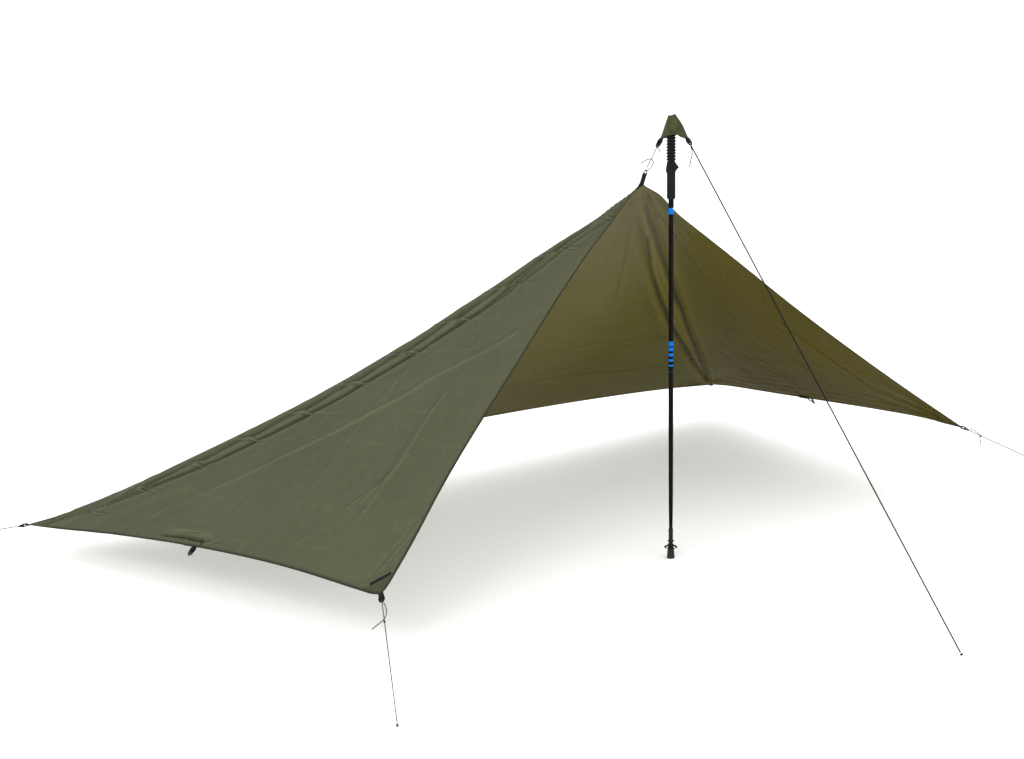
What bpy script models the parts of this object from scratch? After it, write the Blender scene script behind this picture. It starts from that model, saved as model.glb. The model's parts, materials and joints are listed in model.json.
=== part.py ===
"""Camping tarp pitched as a half pyramid on one folding trekking pole.

Metres, +Z up. The origin is the middle of the pole's rubber foot on the ground,
+Y runs to the rear of the shelter, -Y to the front guyline, +X to the right.
"""
import math

import bmesh
import bpy
import numpy as np
from mathutils import Matrix, Vector

# ---------------------------------------------------------------- dimensions
HALF_WIDTH = 1.5            # half of the sheet's 3.0 m side
DEPTH = 1.5                 # the sheet's other side
CELLS = 12                  # cells of the net over 1.5 m
CLOTH_T = 0.00025           # coated fabric
PATCH_T = 0.0003
GAP = 0.0003                # between touching pieces

APEX = Vector((0.0, 0.129, 1.125))
FRONT_LEFT = Vector((-1.145, -0.150, 0.186))
FRONT_RIGHT = Vector((1.155, -0.191, 0.262))
REAR_LEFT = Vector((-1.491, 1.356, 0.096))
REAR_RIGHT = Vector((1.491, 1.322, 0.130))

# how far each edge or ridge stands in from its chord, at these shares of its length
BOW_AT = (0.10, 0.25, 0.50, 0.75, 0.90)
BOW_FRONT_L = (0.027, 0.038, 0.034, 0.024, 0.005)   # apex to front left
BOW_FRONT_R = (0.006, 0.017, 0.046, 0.039, 0.020)   # apex to front right
BOW_SIDE_L = (0.006, 0.021, 0.033, 0.025, 0.010)    # rear left to front left
BOW_SIDE_R = (0.014, 0.019, 0.026, 0.029, 0.024)    # rear right to front right
BOW_REAR = (0.050, 0.100, 0.130, 0.098, 0.050)      # rear left to rear right
SAG_RIDGE_L = (0.023, 0.052, 0.081, 0.063, 0.035)   # apex to rear left
SAG_RIDGE_R = (0.010, 0.020, 0.025, 0.012, 0.005)   # apex to rear right

# ground points of the guylines
PEG_FRONT = Vector((0.0, -1.065, 0.0))
PEG_FRONT_LEFT = Vector((-1.337, -0.501, 0.0))
PEG_REAR_LEFT = Vector((-1.791, 1.713, 0.0))
PEG_FRONT_RIGHT = Vector((1.525, -0.634, 0.0))
PEG_REAR_RIGHT = Vector((1.652, 1.848, 0.0))
KNOT_R = 0.0042

CORD_D = 0.0024             # corner cords
GUY_D = 0.0036              # front guyline

# webbing and tensioners
WEB_W = 0.013               # width of the webbing
WEB_T = 0.0016              # its thickness
WEB_GAP = 0.006             # inside of a loop
LOOP_L = 0.0195             # length of a loop outside the edge
APEX_LOOP_L = 0.0419
GUY_LOOP_L = 0.0125
APEX_WEB_W = 0.010          # the apex loop is narrower
TEN_W = 0.0092              # half of the tensioner's width
TEN_BAR = 0.0016            # half of the bar, along the pull
TEN_L = 0.0160              # from the bar's middle to the nose
TEN_T = 0.0040              # thickness
RING_WIRE = 0.0032
RING_W = 0.0190
RING_H = 0.018

# pole
OUTER_R = 0.0077            # outer tube, under the grip
OUTER_BORE = 0.0073
BORE_R = 0.0063
SHAFT_R = 0.0071
SHAFT_TIP_R = 0.0053
BAND_R = 0.0080
GRIP_BORE = 0.0080
Z_BAND = (1.0498, 1.0712)
Z_OUTER = (1.0715, 1.2994)
Z_INNER_TOP = 1.130         # the upper shaft ends here, inside the outer tube
Z_SLEEVE = (1.0936, 1.1665)
Z_GRIP = (1.1668, 1.3010)
Z_HEAD = (1.3014, 1.3180)
Z_JOINT = 0.5780            # the pole comes apart here
Z_TAPER = 0.3700
Z_FERRULE = 0.0931
BUTTON_Z = 1.0668
RIB_PITCH = 0.0087
RIBS = 11
CHEVRON = 0.0035            # how much lower a rib runs on the grip's front and back
GRIP_R = (0.0110, 0.0148)   # valley and crest of a rib
SLEEVE_R = 0.0125
FOOT_H = 0.0320

# pole cap: (y, z) along its seams, low to high, and the height of its lower edge from rear to front
CAP_REAR = ((0.0422, 1.2661), (0.0383, 1.2737), (0.0273, 1.2947), (0.0197, 1.3126), (0.0114, 1.3339))
CAP_FRONT = ((-0.0665, 1.2705), (-0.0585, 1.2838), (-0.0452, 1.3051), (-0.0307, 1.3227), (-0.0149, 1.3389))
CAP_LOWER = ((0.0, 1.2661), (0.09, 1.2689), (0.26, 1.2757), (0.39, 1.2773), (0.55, 1.2791), (0.65, 1.2814), (0.78, 1.2803), (0.86, 1.2774),
             (0.93, 1.2695), (1.0, 1.2705))
CAP_T = 0.0005

# seen from the front left, these run across and into the picture
ACROSS = Vector((0.792, -0.610, 0.0))

# ---------------------------------------------------------------- scene set-up
for old in list(bpy.data.objects):
    bpy.data.objects.remove(old, do_unlink=True)

PARTS = bpy.data.collections.new("camping_tarp")
bpy.context.scene.collection.children.link(PARTS)


def material(name, rgb, rough, metal=0.0):
    m = bpy.data.materials.new(name)
    m.use_nodes = True
    b = m.node_tree.nodes["Principled BSDF"]
    b.inputs["Base Color"].default_value = (*rgb, 1.0)
    b.inputs["Roughness"].default_value = rough
    b.inputs["Metallic"].default_value = metal
    return m


OLIVE = material("olive_cloth", (0.105, 0.110, 0.060), 0.75)
BLACK_WEB = material("black_webbing", (0.012, 0.012, 0.012), 0.85)
PLASTIC = material("black_plastic", (0.015, 0.015, 0.016), 0.45)
FOAM = material("black_foam", (0.020, 0.020, 0.021), 0.9)
SHAFT = material("black_shaft", (0.012, 0.012, 0.013), 0.35, 0.6)
BLUE = material("blue_collar", (0.0, 0.15, 0.75), 0.4)
METAL = material("bright_metal", (0.75, 0.75, 0.76), 0.3, 1.0)
DARK_METAL = material("black_metal", (0.015, 0.015, 0.016), 0.4, 0.5)
ALLOY = material("bare_alloy", (0.62, 0.63, 0.65), 0.35, 1.0)
RUBBER = material("black_rubber", (0.02, 0.02, 0.02), 0.85)
GREY_CORD = material("grey_cord", (0.12, 0.12, 0.11), 0.85)
BLACK_CORD = material("black_cord", (0.012, 0.012, 0.016), 0.85)


def put(name, data, mat, matrix=None):
    ob = bpy.data.objects.new(name, data)
    PARTS.objects.link(ob)
    ob.data.materials.append(mat)
    if matrix is not None:
        ob.matrix_world = matrix
    return ob


def from_bmesh(name, bm, mat, matrix=None, sharp=40):
    me = bpy.data.meshes.new(name)
    bm.to_mesh(me)
    bm.free()
    me.shade_smooth()
    me.set_sharp_from_angle(angle=math.radians(sharp))
    return put(name, me, mat, matrix)


def solidify(ob, thickness, offset):
    m = ob.modifiers.new("thickness", "SOLIDIFY")
    m.thickness = thickness
    m.offset = offset
    m.use_even_offset = False
    return m


def frame(origin, x, z_hint):
    """A matrix with its X along x and its Z as near to z_hint as it can be."""
    x = Vector(x).normalized()
    y = Vector(z_hint).cross(x).normalized()
    z = x.cross(y).normalized()
    m = Matrix((x, y, z)).transposed().to_4x4()
    m.translation = origin
    return m


def outline(name, loops, half, mat, matrix):
    """A flat outline with holes, filled and given a thickness of twice half along its own Z."""
    cu = bpy.data.curves.new(name, "CURVE")
    cu.dimensions = "2D"
    cu.fill_mode = "BOTH"
    cu.extrude = half
    for loop in loops:
        sp = cu.splines.new("POLY")
        sp.points.add(len(loop) - 1)
        for pt, (x, y) in zip(sp.points, loop):
            pt.co = (x, y, 0.0, 1.0)
        sp.use_cyclic_u = True
    return put(name, cu, mat, matrix)


def tube(name, points, radius, mat, cyclic=False, resolution=2):
    cu = bpy.data.curves.new(name, "CURVE")
    cu.dimensions = "3D"
    cu.bevel_depth = radius
    cu.bevel_resolution = resolution
    cu.use_fill_caps = not cyclic
    sp = cu.splines.new("POLY")
    sp.points.add(len(points) - 1)
    for pt, p in zip(sp.points, points):
        pt.co = (p[0], p[1], p[2], 1.0)
    sp.use_cyclic_u = cyclic
    return put(name, cu, mat)


def turned(name, profile, mat, closed, steps=24, matrix=None):
    """A profile of (radius, height), from top to bottom on its outer side, turned about Z."""
    me = bpy.data.meshes.new(name)
    n = len(profile)
    edges = [(i, i + 1) for i in range(n - 1)] + ([(n - 1, 0)] if closed else [])
    me.from_pydata([(r, 0.0, z) for r, z in profile], edges, [])
    ob = put(name, me, mat, matrix)
    sc = ob.modifiers.new("turn", "SCREW")
    sc.axis = "Z"
    sc.angle = 2 * math.pi
    sc.steps = steps
    sc.render_steps = steps
    sc.use_merge_vertices = True
    sc.merge_threshold = 0.00001
    sc.use_smooth_shade = True
    return ob


def smooth_route(through, count):
    """count points on a smooth curve through the given ones (centripetal Catmull-Rom)."""
    pts = [Vector(p) for p in through]
    pts = [pts[0] * 2 - pts[1]] + pts + [pts[-1] * 2 - pts[-2]]
    fine = []
    for k in range(1, len(pts) - 2):
        p0, p1, p2, p3 = pts[k - 1:k + 3]
        t0 = 0.0
        t1 = t0 + math.sqrt((p1 - p0).length)
        t2 = t1 + math.sqrt((p2 - p1).length)
        t3 = t2 + math.sqrt((p3 - p2).length)
        for j in range(24):
            t = t1 + (t2 - t1) * j / 24
            a1 = p0 * ((t1 - t) / (t1 - t0)) + p1 * ((t - t0) / (t1 - t0))
            a2 = p1 * ((t2 - t) / (t2 - t1)) + p2 * ((t - t1) / (t2 - t1))
            a3 = p2 * ((t3 - t) / (t3 - t2)) + p3 * ((t - t2) / (t3 - t2))
            b1 = a1 * ((t2 - t) / (t2 - t0)) + a2 * ((t - t0) / (t2 - t0))
            b2 = a2 * ((t3 - t) / (t3 - t1)) + a3 * ((t - t1) / (t3 - t1))
            fine.append(b1 * ((t2 - t) / (t2 - t1)) + b2 * ((t - t1) / (t2 - t1)))
    fine.append(pts[-2])
    run = [0.0]
    for a, b in zip(fine, fine[1:]):
        run.append(run[-1] + (b - a).length)
    out, k = [], 0
    for i in range(count):
        s = run[-1] * i / (count - 1)
        while k < len(run) - 2 and run[k + 1] < s:
            k += 1
        f = (s - run[k]) / max(run[k + 1] - run[k], 1e-12)
        out.append(fine[k].lerp(fine[k + 1], min(max(f, 0.0), 1.0)))
    return out


# ---------------------------------------------------------------- the sheet's shape
def bow(t, q):
    """A smooth curve that is 0 at both ends and q at the shares BOW_AT."""
    xs, ys = (0.0, *BOW_AT, 1.0), (0.0, *q, 0.0)
    secant = [(ys[k + 1] - ys[k]) / (xs[k + 1] - xs[k]) for k in range(len(xs) - 1)]
    slope = [secant[0] * 1.25] + [
        (secant[k - 1] * (xs[k + 1] - xs[k]) + secant[k] * (xs[k] - xs[k - 1])) / (xs[k + 1] - xs[k - 1])
        for k in range(1, len(xs) - 1)] + [secant[-1] * 1.25]
    k = max(i for i in range(len(xs) - 1) if xs[i] <= t or i == 0)
    h = xs[k + 1] - xs[k]
    u = (t - xs[k]) / h
    return ((2 * u ** 3 - 3 * u ** 2 + 1) * ys[k] + (u ** 3 - 2 * u ** 2 + u) * h * slope[k]
            + (3 * u ** 2 - 2 * u ** 3) * ys[k + 1] + (u ** 3 - u ** 2) * h * slope[k + 1])


def edge_point(a, b, inside, t, q):
    """A point of the bowed edge from a to b, which stands in towards the corner named inside."""
    d = (b - a).normalized()
    m = inside - a
    m = (m - d * m.dot(d)).normalized()
    return a.lerp(b, t) + m * bow(t, q)


def outward(a, b, c, away):
    n = (b - a).cross(c - a).normalized()
    return n if n.dot(a - away) > 0 else -n


UNDER = Vector((0.0, 0.5, 0.2))
N_LEFT = outward(APEX, REAR_LEFT, FRONT_LEFT, UNDER)
N_RIGHT = outward(APEX, REAR_RIGHT, FRONT_RIGHT, UNDER)
N_REAR = outward(APEX, REAR_LEFT, REAR_RIGHT, UNDER)
IN_L = -(N_LEFT + N_REAR).normalized()
IN_R = -(N_RIGHT + N_REAR).normalized()


def solve_net():
    """Points of the hung sheet over its flat net: edges and ridges are set, the rest is a taut film."""
    n = CELLS
    net = np.zeros((2 * n + 1, n + 1, 3))
    held = np.zeros((2 * n + 1, n + 1), bool)

    def hold(i, j, p):
        net[i + n, j] = p
        held[i + n, j] = True

    for k in range(n + 1):
        t = k / n
        hold(-k, 0, edge_point(APEX, FRONT_LEFT, REAR_LEFT, t, BOW_FRONT_L))
        hold(k, 0, edge_point(APEX, FRONT_RIGHT, REAR_RIGHT, t, BOW_FRONT_R))
        hold(-n, k, edge_point(REAR_LEFT, FRONT_LEFT, APEX, 1 - t, BOW_SIDE_L))
        hold(n, k, edge_point(REAR_RIGHT, FRONT_RIGHT, APEX, 1 - t, BOW_SIDE_R))
        hold(-k, k, APEX.lerp(REAR_LEFT, t) + IN_L * bow(t, SAG_RIDGE_L))
        hold(k, k, APEX.lerp(REAR_RIGHT, t) + IN_R * bow(t, SAG_RIDGE_R))
    for i in range(-n, n + 1):
        t = (i + n) / (2 * n)
        hold(i, n, edge_point(REAR_LEFT, REAR_RIGHT, APEX, t, BOW_REAR))
    for i in range(-n, n + 1):
        for j in range(n + 1):
            if not held[i + n, j]:
                net[i + n, j] = APEX.lerp(Vector(net[i + n, n]), j / n)
    free = ~held
    for _ in range(1500):
        mean = net.copy()
        mean[1:-1, 1:-1] = (net[:-2, 1:-1] + net[2:, 1:-1] + net[1:-1, :-2] + net[1:-1, 2:]) / 4
        net[free] = mean[free]
    return net


NET = solve_net()


def sheet_point(s, t):
    """The hung place of the flat point (s across from the middle, t back from the front edge)."""
    n, h = CELLS, HALF_WIDTH / CELLS
    side = -1 if s < 0 else 1
    a, b = abs(s) / h, t / h
    ia, ib = min(int(a + 1e-9), n - 1), min(int(b + 1e-9), n - 1)
    fa, fb = a - ia, b - ib
    at = lambda x, y: Vector(NET[side * x + n, y])
    if fa >= fb:
        return at(ia, ib) * (1 - fa) + at(ia + 1, ib) * (fa - fb) + at(ia + 1, ib + 1) * fb
    return at(ia, ib) * (1 - fb) + at(ia, ib + 1) * (fb - fa) + at(ia + 1, ib + 1) * fa


# ---------------------------------------------------------------- canopy
def panel(name, keep):
    """One triangle of the canopy: a flat net, cut along the ridges and hung."""
    bm = bmesh.new()
    bmesh.ops.create_grid(bm, x_segments=2 * CELLS, y_segments=CELLS, size=0.5)
    for v in bm.verts:
        v.co = Vector((v.co.x * 2 * HALF_WIDTH, (v.co.y + 0.5) * DEPTH, 0.0))
    h = HALF_WIDTH / CELLS
    for f in list(bm.faces):
        c = f.calc_center_median()
        side = -1 if c.x < 0 else 1
        ia, ib = int(abs(c.x) / h), int(c.y / h)
        low = Vector((side * ia * h, ib * h, 0.0))
        high = Vector((side * (ia + 1) * h, (ib + 1) * h, 0.0))
        pair = [v for v in f.verts if (v.co - low).length < 1e-4 or (v.co - high).length < 1e-4]
        bmesh.ops.connect_verts(bm, verts=pair)
    gone = [f for f in bm.faces if not keep(*f.calc_center_median().xy)]
    bmesh.ops.delete(bm, geom=gone, context="FACES")
    for v in bm.verts:
        v.co = sheet_point(v.co.x, v.co.y)
    middle = sum((v.co for v in bm.verts), Vector()) / len(bm.verts)
    for v in bm.verts:                      # a hair's gap along the ridges
        v.co = middle + (v.co - middle) * 0.9992
    bmesh.ops.recalc_face_normals(bm, faces=bm.faces)
    ob = from_bmesh(name, bm, OLIVE, sharp=60)
    solidify(ob, CLOTH_T, 0.0)
    return ob


panel("canopy_left_wing", lambda s, t: s < 0 and -s > t)
panel("canopy_rear_panel", lambda s, t: abs(s) < t)
panel("canopy_right_wing", lambda s, t: s > 0 and s > t)


def patch(name, flat, offset, thickness, mat, inset=0.0015):
    """A cut of cloth laid on the sheet: a fan about the first flat point, stood off along the normals."""
    bm = bmesh.new()
    mid = [sum(p[k] for p in flat) / len(flat) for k in (0, 1)]
    verts = []
    for s, t in flat:
        d = math.hypot(mid[0] - s, mid[1] - t)
        k = inset / d
        verts.append(bm.verts.new(sheet_point(s + (mid[0] - s) * k, t + (mid[1] - t) * k)))
    for a, b in zip(verts[1:], verts[2:]):
        bm.faces.new((verts[0], a, b))
    bmesh.ops.recalc_face_normals(bm, faces=bm.faces)
    bm.normal_update()
    up = sum((f.normal for f in bm.faces), Vector())
    if up.z < 0:
        bmesh.ops.reverse_faces(bm, faces=bm.faces)
        bm.normal_update()
    moves = [v.normal * offset for v in bm.verts]
    for v, m in zip(bm.verts, moves):
        v.co += m
    ob = from_bmesh(name, bm, mat)
    solidify(ob, thickness, 0.0)
    return ob


LEG = 0.108
STAND = -0.0011
W, D = HALF_WIDTH, DEPTH
patch("patch_front_left", [(-W, 0), (-W + LEG, 0), (-W, LEG)], STAND, PATCH_T, OLIVE)
patch("patch_front_right", [(W, 0), (W, LEG), (W - LEG, 0)], STAND, PATCH_T, OLIVE)
patch("patch_rear_left", [(-W, D), (-W, D - LEG), (-W + LEG / 2, D - LEG / 2), (-W + LEG, D)], STAND, PATCH_T, OLIVE)
patch("patch_rear_right", [(W, D), (W - LEG, D), (W - LEG / 2, D - LEG / 2), (W, D - LEG)], STAND, PATCH_T, OLIVE)
Q = 0.082
patch("patch_apex", [(0, 0), (-0.112, 0), (-Q, Q), (0, 0.112), (Q, Q), (0.112, 0)], STAND, PATCH_T, OLIVE)
# the bare tab sewn across the front left corner
TAB = [(-W + 0.010, 0.062), (-W + 0.062, 0.010), (-W + 0.069, 0.017), (-W + 0.017, 0.069)]
patch("corner_tab", TAB, 0.0008, 0.0005, BLACK_WEB, inset=0.0)


# ---------------------------------------------------------------- webbing and tensioners
def arc(cx, cy, r, a0, a1, n):
    return [(cx + r * math.cos(a0 + (a1 - a0) * k / n), cy + r * math.sin(a0 + (a1 - a0) * k / n)) for k in range(n + 1)]


def loop_frame(root, pull, normal):
    """X along the pull, Y along the cloth's normal, Z along the webbing's width."""
    x = Vector(pull).normalized()
    z = x.cross(Vector(normal)).normalized()
    y = z.cross(x).normalized()
    m = Matrix((x, y, z)).transposed().to_4x4()
    m.translation = root
    return m


def webbing_loop(name, root, pull, normal, length=LOOP_L, width=WEB_W):
    """A closed loop of webbing. Returns the middle of its far bend."""
    ro, ri = WEB_GAP / 2 + WEB_T, WEB_GAP / 2
    x0, x1 = 0.0008 + ro, length - ro
    outer = arc(x1, 0, ro, -math.pi / 2, math.pi / 2, 8) + arc(x0, 0, ro, math.pi / 2, 3 * math.pi / 2, 8)
    inner = arc(x1, 0, ri, -math.pi / 2, math.pi / 2, 6) + arc(x0, 0, ri, math.pi / 2, 3 * math.pi / 2, 6)
    m = loop_frame(root, pull, normal)
    outline(name, [outer, inner], width / 2, BLACK_WEB, m)
    return m @ Vector((x1, 0, 0))


def tensioner(name, bar, pull, normal, mat=PLASTIC):
    """A cord tensioner, hung by its bar; X of its outline is the pull, Y the width. Returns its nose."""
    x = Vector(pull).normalized()
    y = x.cross(Vector(normal)).normalized()
    z = x.cross(y).normalized()
    m = Matrix((x, y, z)).transposed().to_4x4()
    m.translation = bar
    b, w = TEN_BAR, TEN_W
    outer = [(-b, -w + 0.002), (-b + 0.002, -w), (0.0085, -w), (TEN_L, -0.0040), (TEN_L, 0.0040), (0.0085, w), (-b + 0.002, w), (-b, w - 0.002)]
    slot = [(b, -0.0073), (0.0056, -0.0073), (0.0056, 0.0073), (b, 0.0073)]
    eye = [(0.0082, -0.0046), (0.0110, -0.0040), (0.0110, 0.0040), (0.0082, 0.0046)]
    outline(name, [outer, slot, eye], TEN_T / 2, mat, m)
    return m @ Vector((TEN_L, 0, 0))


def turn(v, axis, degrees):
    return Matrix.Rotation(math.radians(degrees), 3, Vector(axis)) @ Vector(v)


def edge_mid(s, t, ds, dt):
    """The edge's point, the way along it, and the way out of it, at a flat point on the edge."""
    p = sheet_point(s, t)
    along = (sheet_point(s + ds, t + dt) - sheet_point(s - ds, t - dt)).normalized()
    return p, along


CORNERS = {
    "front_left": (FRONT_LEFT, PEG_FRONT_LEFT, N_LEFT),
    "front_right": (FRONT_RIGHT, PEG_FRONT_RIGHT, N_RIGHT),
    "rear_left": (REAR_LEFT, PEG_REAR_LEFT, -IN_L),
    "rear_right": (REAR_RIGHT, PEG_REAR_RIGHT, -IN_R),
}
NOSES = {}
for key, (corner, peg, normal) in CORNERS.items():
    pull = (peg - corner).normalized()
    bend = webbing_loop("webbing_" + key, corner, pull, normal)
    NOSES[key] = tensioner("tensioner_" + key, bend, pull, normal), pull

MIDS = {}       # hanging tensioners: pivot, hinge axis, their way and their webbing's way
# middles of the side edges and of the rear edge
for key, (s, t, ds, dt), normal, lean, forward in (
    ("left", (-W, 0.735, 0, 0.1), N_LEFT, 0.0, 0.0),
    ("right", (W, 0.805, 0, 0.1), N_RIGHT, 20.0, 0.35),
    ("rear", (0.0, D, 0.1, 0), N_REAR, 42.0, 0.0),
):
    p, along = edge_mid(s, t, ds, dt)
    out = along.cross(normal).normalized()
    if out.dot(p - sheet_point(s * 0.9, 0.75 if key != "rear" else 1.2)) < 0:
        out = -out
    out = (out - along * forward).normalized()
    p = p + out * (WEB_W / 2 * forward)
    bend = webbing_loop("webbing_mid_" + key, p, out, normal)
    bar = loop_frame(p, out, normal).col[2].to_3d()
    # lean turns the tensioner from the webbing's line towards the ground
    way = turn(out, bar, lean)
    if way.z > out.z:
        way = turn(out, bar, -lean)
    tensioner("tensioner_mid_" + key, bend, way, way.cross(bar))
    MIDS[key] = (bend.copy(), bar.copy(), way.copy(), out.copy())

# apex loop and its triangular ring
APEX_PULL = Vector((0.0, -0.400, 0.917)).normalized()
APEX_NORMAL = Vector((0.0, 0.917, 0.400))
bend = webbing_loop("webbing_apex", APEX, APEX_PULL, APEX_NORMAL, APEX_LOOP_L, APEX_WEB_W)
RING_TOP = bend + APEX_PULL * RING_H
half = RING_W / 2
ring = []
for (x0, u0), (x1, u1) in (((-half, 0), (half, 0)), ((half, 0), (0, RING_H)), ((0, RING_H), (-half, 0))):
    # each corner is rounded by cutting it short
    for f in (0.16, 0.5, 0.84):
        ring.append(bend + Vector((x0 + (x1 - x0) * f, 0, 0)) + APEX_PULL * (u0 + (u1 - u0) * f))
tube("apex_ring", ring, RING_WIRE / 2, DARK_METAL, cyclic=True)


# ---------------------------------------------------------------- pole cap
def cap_seam(seam, z):
    return float(np.interp(z, [q[1] for q in seam], [q[0] for q in seam]))


def cap_half(z):
    """Half of the pouch's thickness along X, full over the grip and flat at its top seam."""
    zs, hs = (1.260, 1.290, 1.306, 1.316, 1.326, 1.3370), (0.0170, 0.0168, 0.0158, 0.0126, 0.0072, 0.0016)
    return float(np.interp(z, zs, hs))


def build_cap():
    around, levels = 40, 8
    bm = bmesh.new()
    rings = []
    for k in range(levels + 1):
        f = (k / levels) ** 0.85
        ring = []
        for a in range(around):
            ang = 2 * math.pi * a / around
            c, s = math.cos(ang), math.sin(ang)
            share = (1 - c) / 2                     # 0 at the rear seam, 1 at the front one
            low = float(np.interp(share, [q[0] for q in CAP_LOWER], [q[1] for q in CAP_LOWER]))
            high = CAP_REAR[-1][1] + (CAP_FRONT[-1][1] - CAP_REAR[-1][1]) * share - 0.0012 * math.sin(math.pi * share)
            z = low + (high - low) * f
            yr, yf = cap_seam(CAP_REAR, z), cap_seam(CAP_FRONT, z)
            y = (yr + yf) / 2 + (yr - yf) / 2 * c
            x = cap_half(z) * math.copysign(abs(s) ** 0.9, s)
            ring.append(bm.verts.new((x, y, z)))
        rings.append(ring)
    for low, high in zip(rings, rings[1:]):
        for a in range(around):
            b = (a + 1) % around
            bm.faces.new((low[a], low[b], high[b], high[a]))
    bm.faces.new(rings[-1])
    bmesh.ops.recalc_face_normals(bm, faces=bm.faces)
    ob = from_bmesh("pole_cap", bm, OLIVE, sharp=50)
    if sum(p.normal.dot(p.center - Vector((0, -0.01, 1.29))) for p in ob.data.polygons) < 0:
        ob.data.flip_normals()
    solidify(ob, CAP_T, -1.0)


build_cap()
FRONT_SEAM = Vector((0, CAP_FRONT[0][0], CAP_FRONT[0][1]))
REAR_SEAM = Vector((0, CAP_REAR[0][0], CAP_REAR[0][1]))
GUY_PULL = (PEG_FRONT - FRONT_SEAM).normalized()
bend = webbing_loop("webbing_cap_front", FRONT_SEAM + GUY_PULL * 0.0004, GUY_PULL, Vector((1, 0, 0)).cross(GUY_PULL), GUY_LOOP_L)
GUY_NOSE = tensioner("tensioner_cap_front", bend, GUY_PULL, Vector((1, 0, 0)).cross(GUY_PULL))
TIE_PULL = (RING_TOP - REAR_SEAM).normalized()
bend = webbing_loop("webbing_cap_rear", REAR_SEAM + TIE_PULL * 0.0004, TIE_PULL, Vector((1, 0, 0)).cross(TIE_PULL), LOOP_L)
TIE_NOSE = tensioner("tensioner_cap_rear", bend, TIE_PULL, Vector((1, 0, 0)).cross(TIE_PULL))


# ---------------------------------------------------------------- cords
def straight(a, b, count):
    return [a.lerp(b, k / (count - 1)) for k in range(count)]


def knot(name, at, r=KNOT_R, mat=GREY_CORD):
    bm = bmesh.new()
    bmesh.ops.create_icosphere(bm, subdivisions=2, radius=r)
    from_bmesh(name, bm, mat, Matrix.Translation(at + Vector((0, 0, r))), sharp=80)


def run(name, nose, pull, peg, d, mat, knot_name, count=14):
    """A taut cord from a tensioner's nose to its knot on the ground."""
    centre = peg + Vector((0, 0, KNOT_R))
    start = nose + pull * (GAP + 0.0001)
    way = (centre - start).normalized()
    end = centre - way * (KNOT_R + GAP)
    tube(name, straight(start, end, count), d / 2, mat)
    knot(knot_name, peg, mat=mat)
    return start, end


for key, (corner, peg, normal) in CORNERS.items():
    nose, pull = NOSES[key]
    run("cord_" + key, nose, pull, peg, CORD_D, GREY_CORD, "knot_" + key)
run("cord_front_guy", GUY_NOSE, GUY_PULL, PEG_FRONT, GUY_D, BLACK_CORD, "knot_front_guy", count=20)
tie_way = (RING_TOP - TIE_NOSE).normalized()
tube("cord_apex", straight(TIE_NOSE + tie_way * (GAP + 0.0002), RING_TOP - tie_way * 0.0030, 8), CORD_D / 2, GREY_CORD)


def tail_route(nose, pull, towards, shape):
    """Points given as (along the cord, across the picture, towards the viewer, down), from the nose."""
    across = (ACROSS - pull * ACROSS.dot(pull)).normalized()
    return [nose + pull * a + across * b + towards * c + Vector((0, 0, -d)) for a, b, c, d in shape]


NEAR = Vector((-0.61, -0.792, 0.0))
nose, pull = NOSES["front_left"]
side = (NEAR - pull * NEAR.dot(pull)).normalized()
FL_TAIL = tail_route(nose, pull, side, [
    (0.0014, 0.0028, 0.0, 0.0), (0.009, 0.006, 0.001, 0.0), (0.0315, 0.009, 0.0025, 0.0), (0.048, 0.0075, 0.0035, 0.0),
    (0.0625, 0.0015, 0.0042, 0.0), (0.073, -0.009, 0.0030, 0.0), (0.0815, -0.0215, 0.0015, 0.0), (0.0905, -0.0335, 0.0, 0.0)])
tube("tail_front_left", smooth_route(FL_TAIL, 30), CORD_D / 2, GREY_CORD)
nose, pull = NOSES["front_right"]
upward = (Vector((0, 0, 1)) - pull * pull.z).normalized()
FR_TAIL = [nose + pull * a + upward * b + NEAR * c for a, b, c in (
    (0.0014, 0.0032, 0.0), (0.006, 0.0062, 0.001), (0.012, 0.0073, 0.002), (0.023, 0.0065, 0.0034),
    (0.0365, 0.001, 0.0042), (0.042, -0.0075, 0.0038), (0.050, -0.019, 0.003), (0.0565, -0.0285, 0.003))]
tube("tail_front_right", smooth_route(FR_TAIL, 28), CORD_D / 2, GREY_CORD)


# the apex cord's tail leaves the ring, crosses in front of its cord and ends to the rear
AP_TAIL = [(-0.0026, 0.1045, 1.1745), (-0.0032, 0.0970, 1.1720), (-0.0034, 0.0870, 1.1780), (-0.0036, 0.0750, 1.1910), (-0.0036, 0.0712, 1.1985),
           (-0.0036, 0.0800, 1.2060), (-0.0030, 0.0935, 1.2055), (-0.0020, 0.1105, 1.2005), (0.0, 0.1305, 1.1915)]
tube("tail_apex", smooth_route(AP_TAIL, 32), CORD_D / 2, GREY_CORD)
# a short end at the cap's rear tensioner
below = Vector((0, -TIE_PULL.z, TIE_PULL.y))
below = -below if below.z > 0 else below
CAP_TAIL = [TIE_NOSE + below * 0.0038 - TIE_PULL * 0.002, TIE_NOSE + below * 0.010, TIE_NOSE + below * 0.0165 + TIE_PULL * 0.001,
            TIE_NOSE + below * 0.0205 + TIE_PULL * 0.006]
tube("tail_cap_rear", smooth_route(CAP_TAIL, 10), CORD_D / 2, GREY_CORD)
GUY_TAIL = [(-0.0036, -0.0835, 1.2493), (-0.0037, -0.0890, 1.2405), (-0.0040, -0.0905, 1.2310), (-0.0035, -0.0898, 1.2240), (-0.0020, -0.0842, 1.2110), (0.0, -0.0761, 1.1895)]
tube("tail_front_guy", smooth_route(GUY_TAIL, 16), CORD_D / 2, BLACK_CORD)


# ---------------------------------------------------------------- pole
def ring_profile(outer, inner_low, inner_high):
    """A closed profile from its outer side (top to bottom) and its two inner corners."""
    return outer + [inner_low, inner_high]


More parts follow.
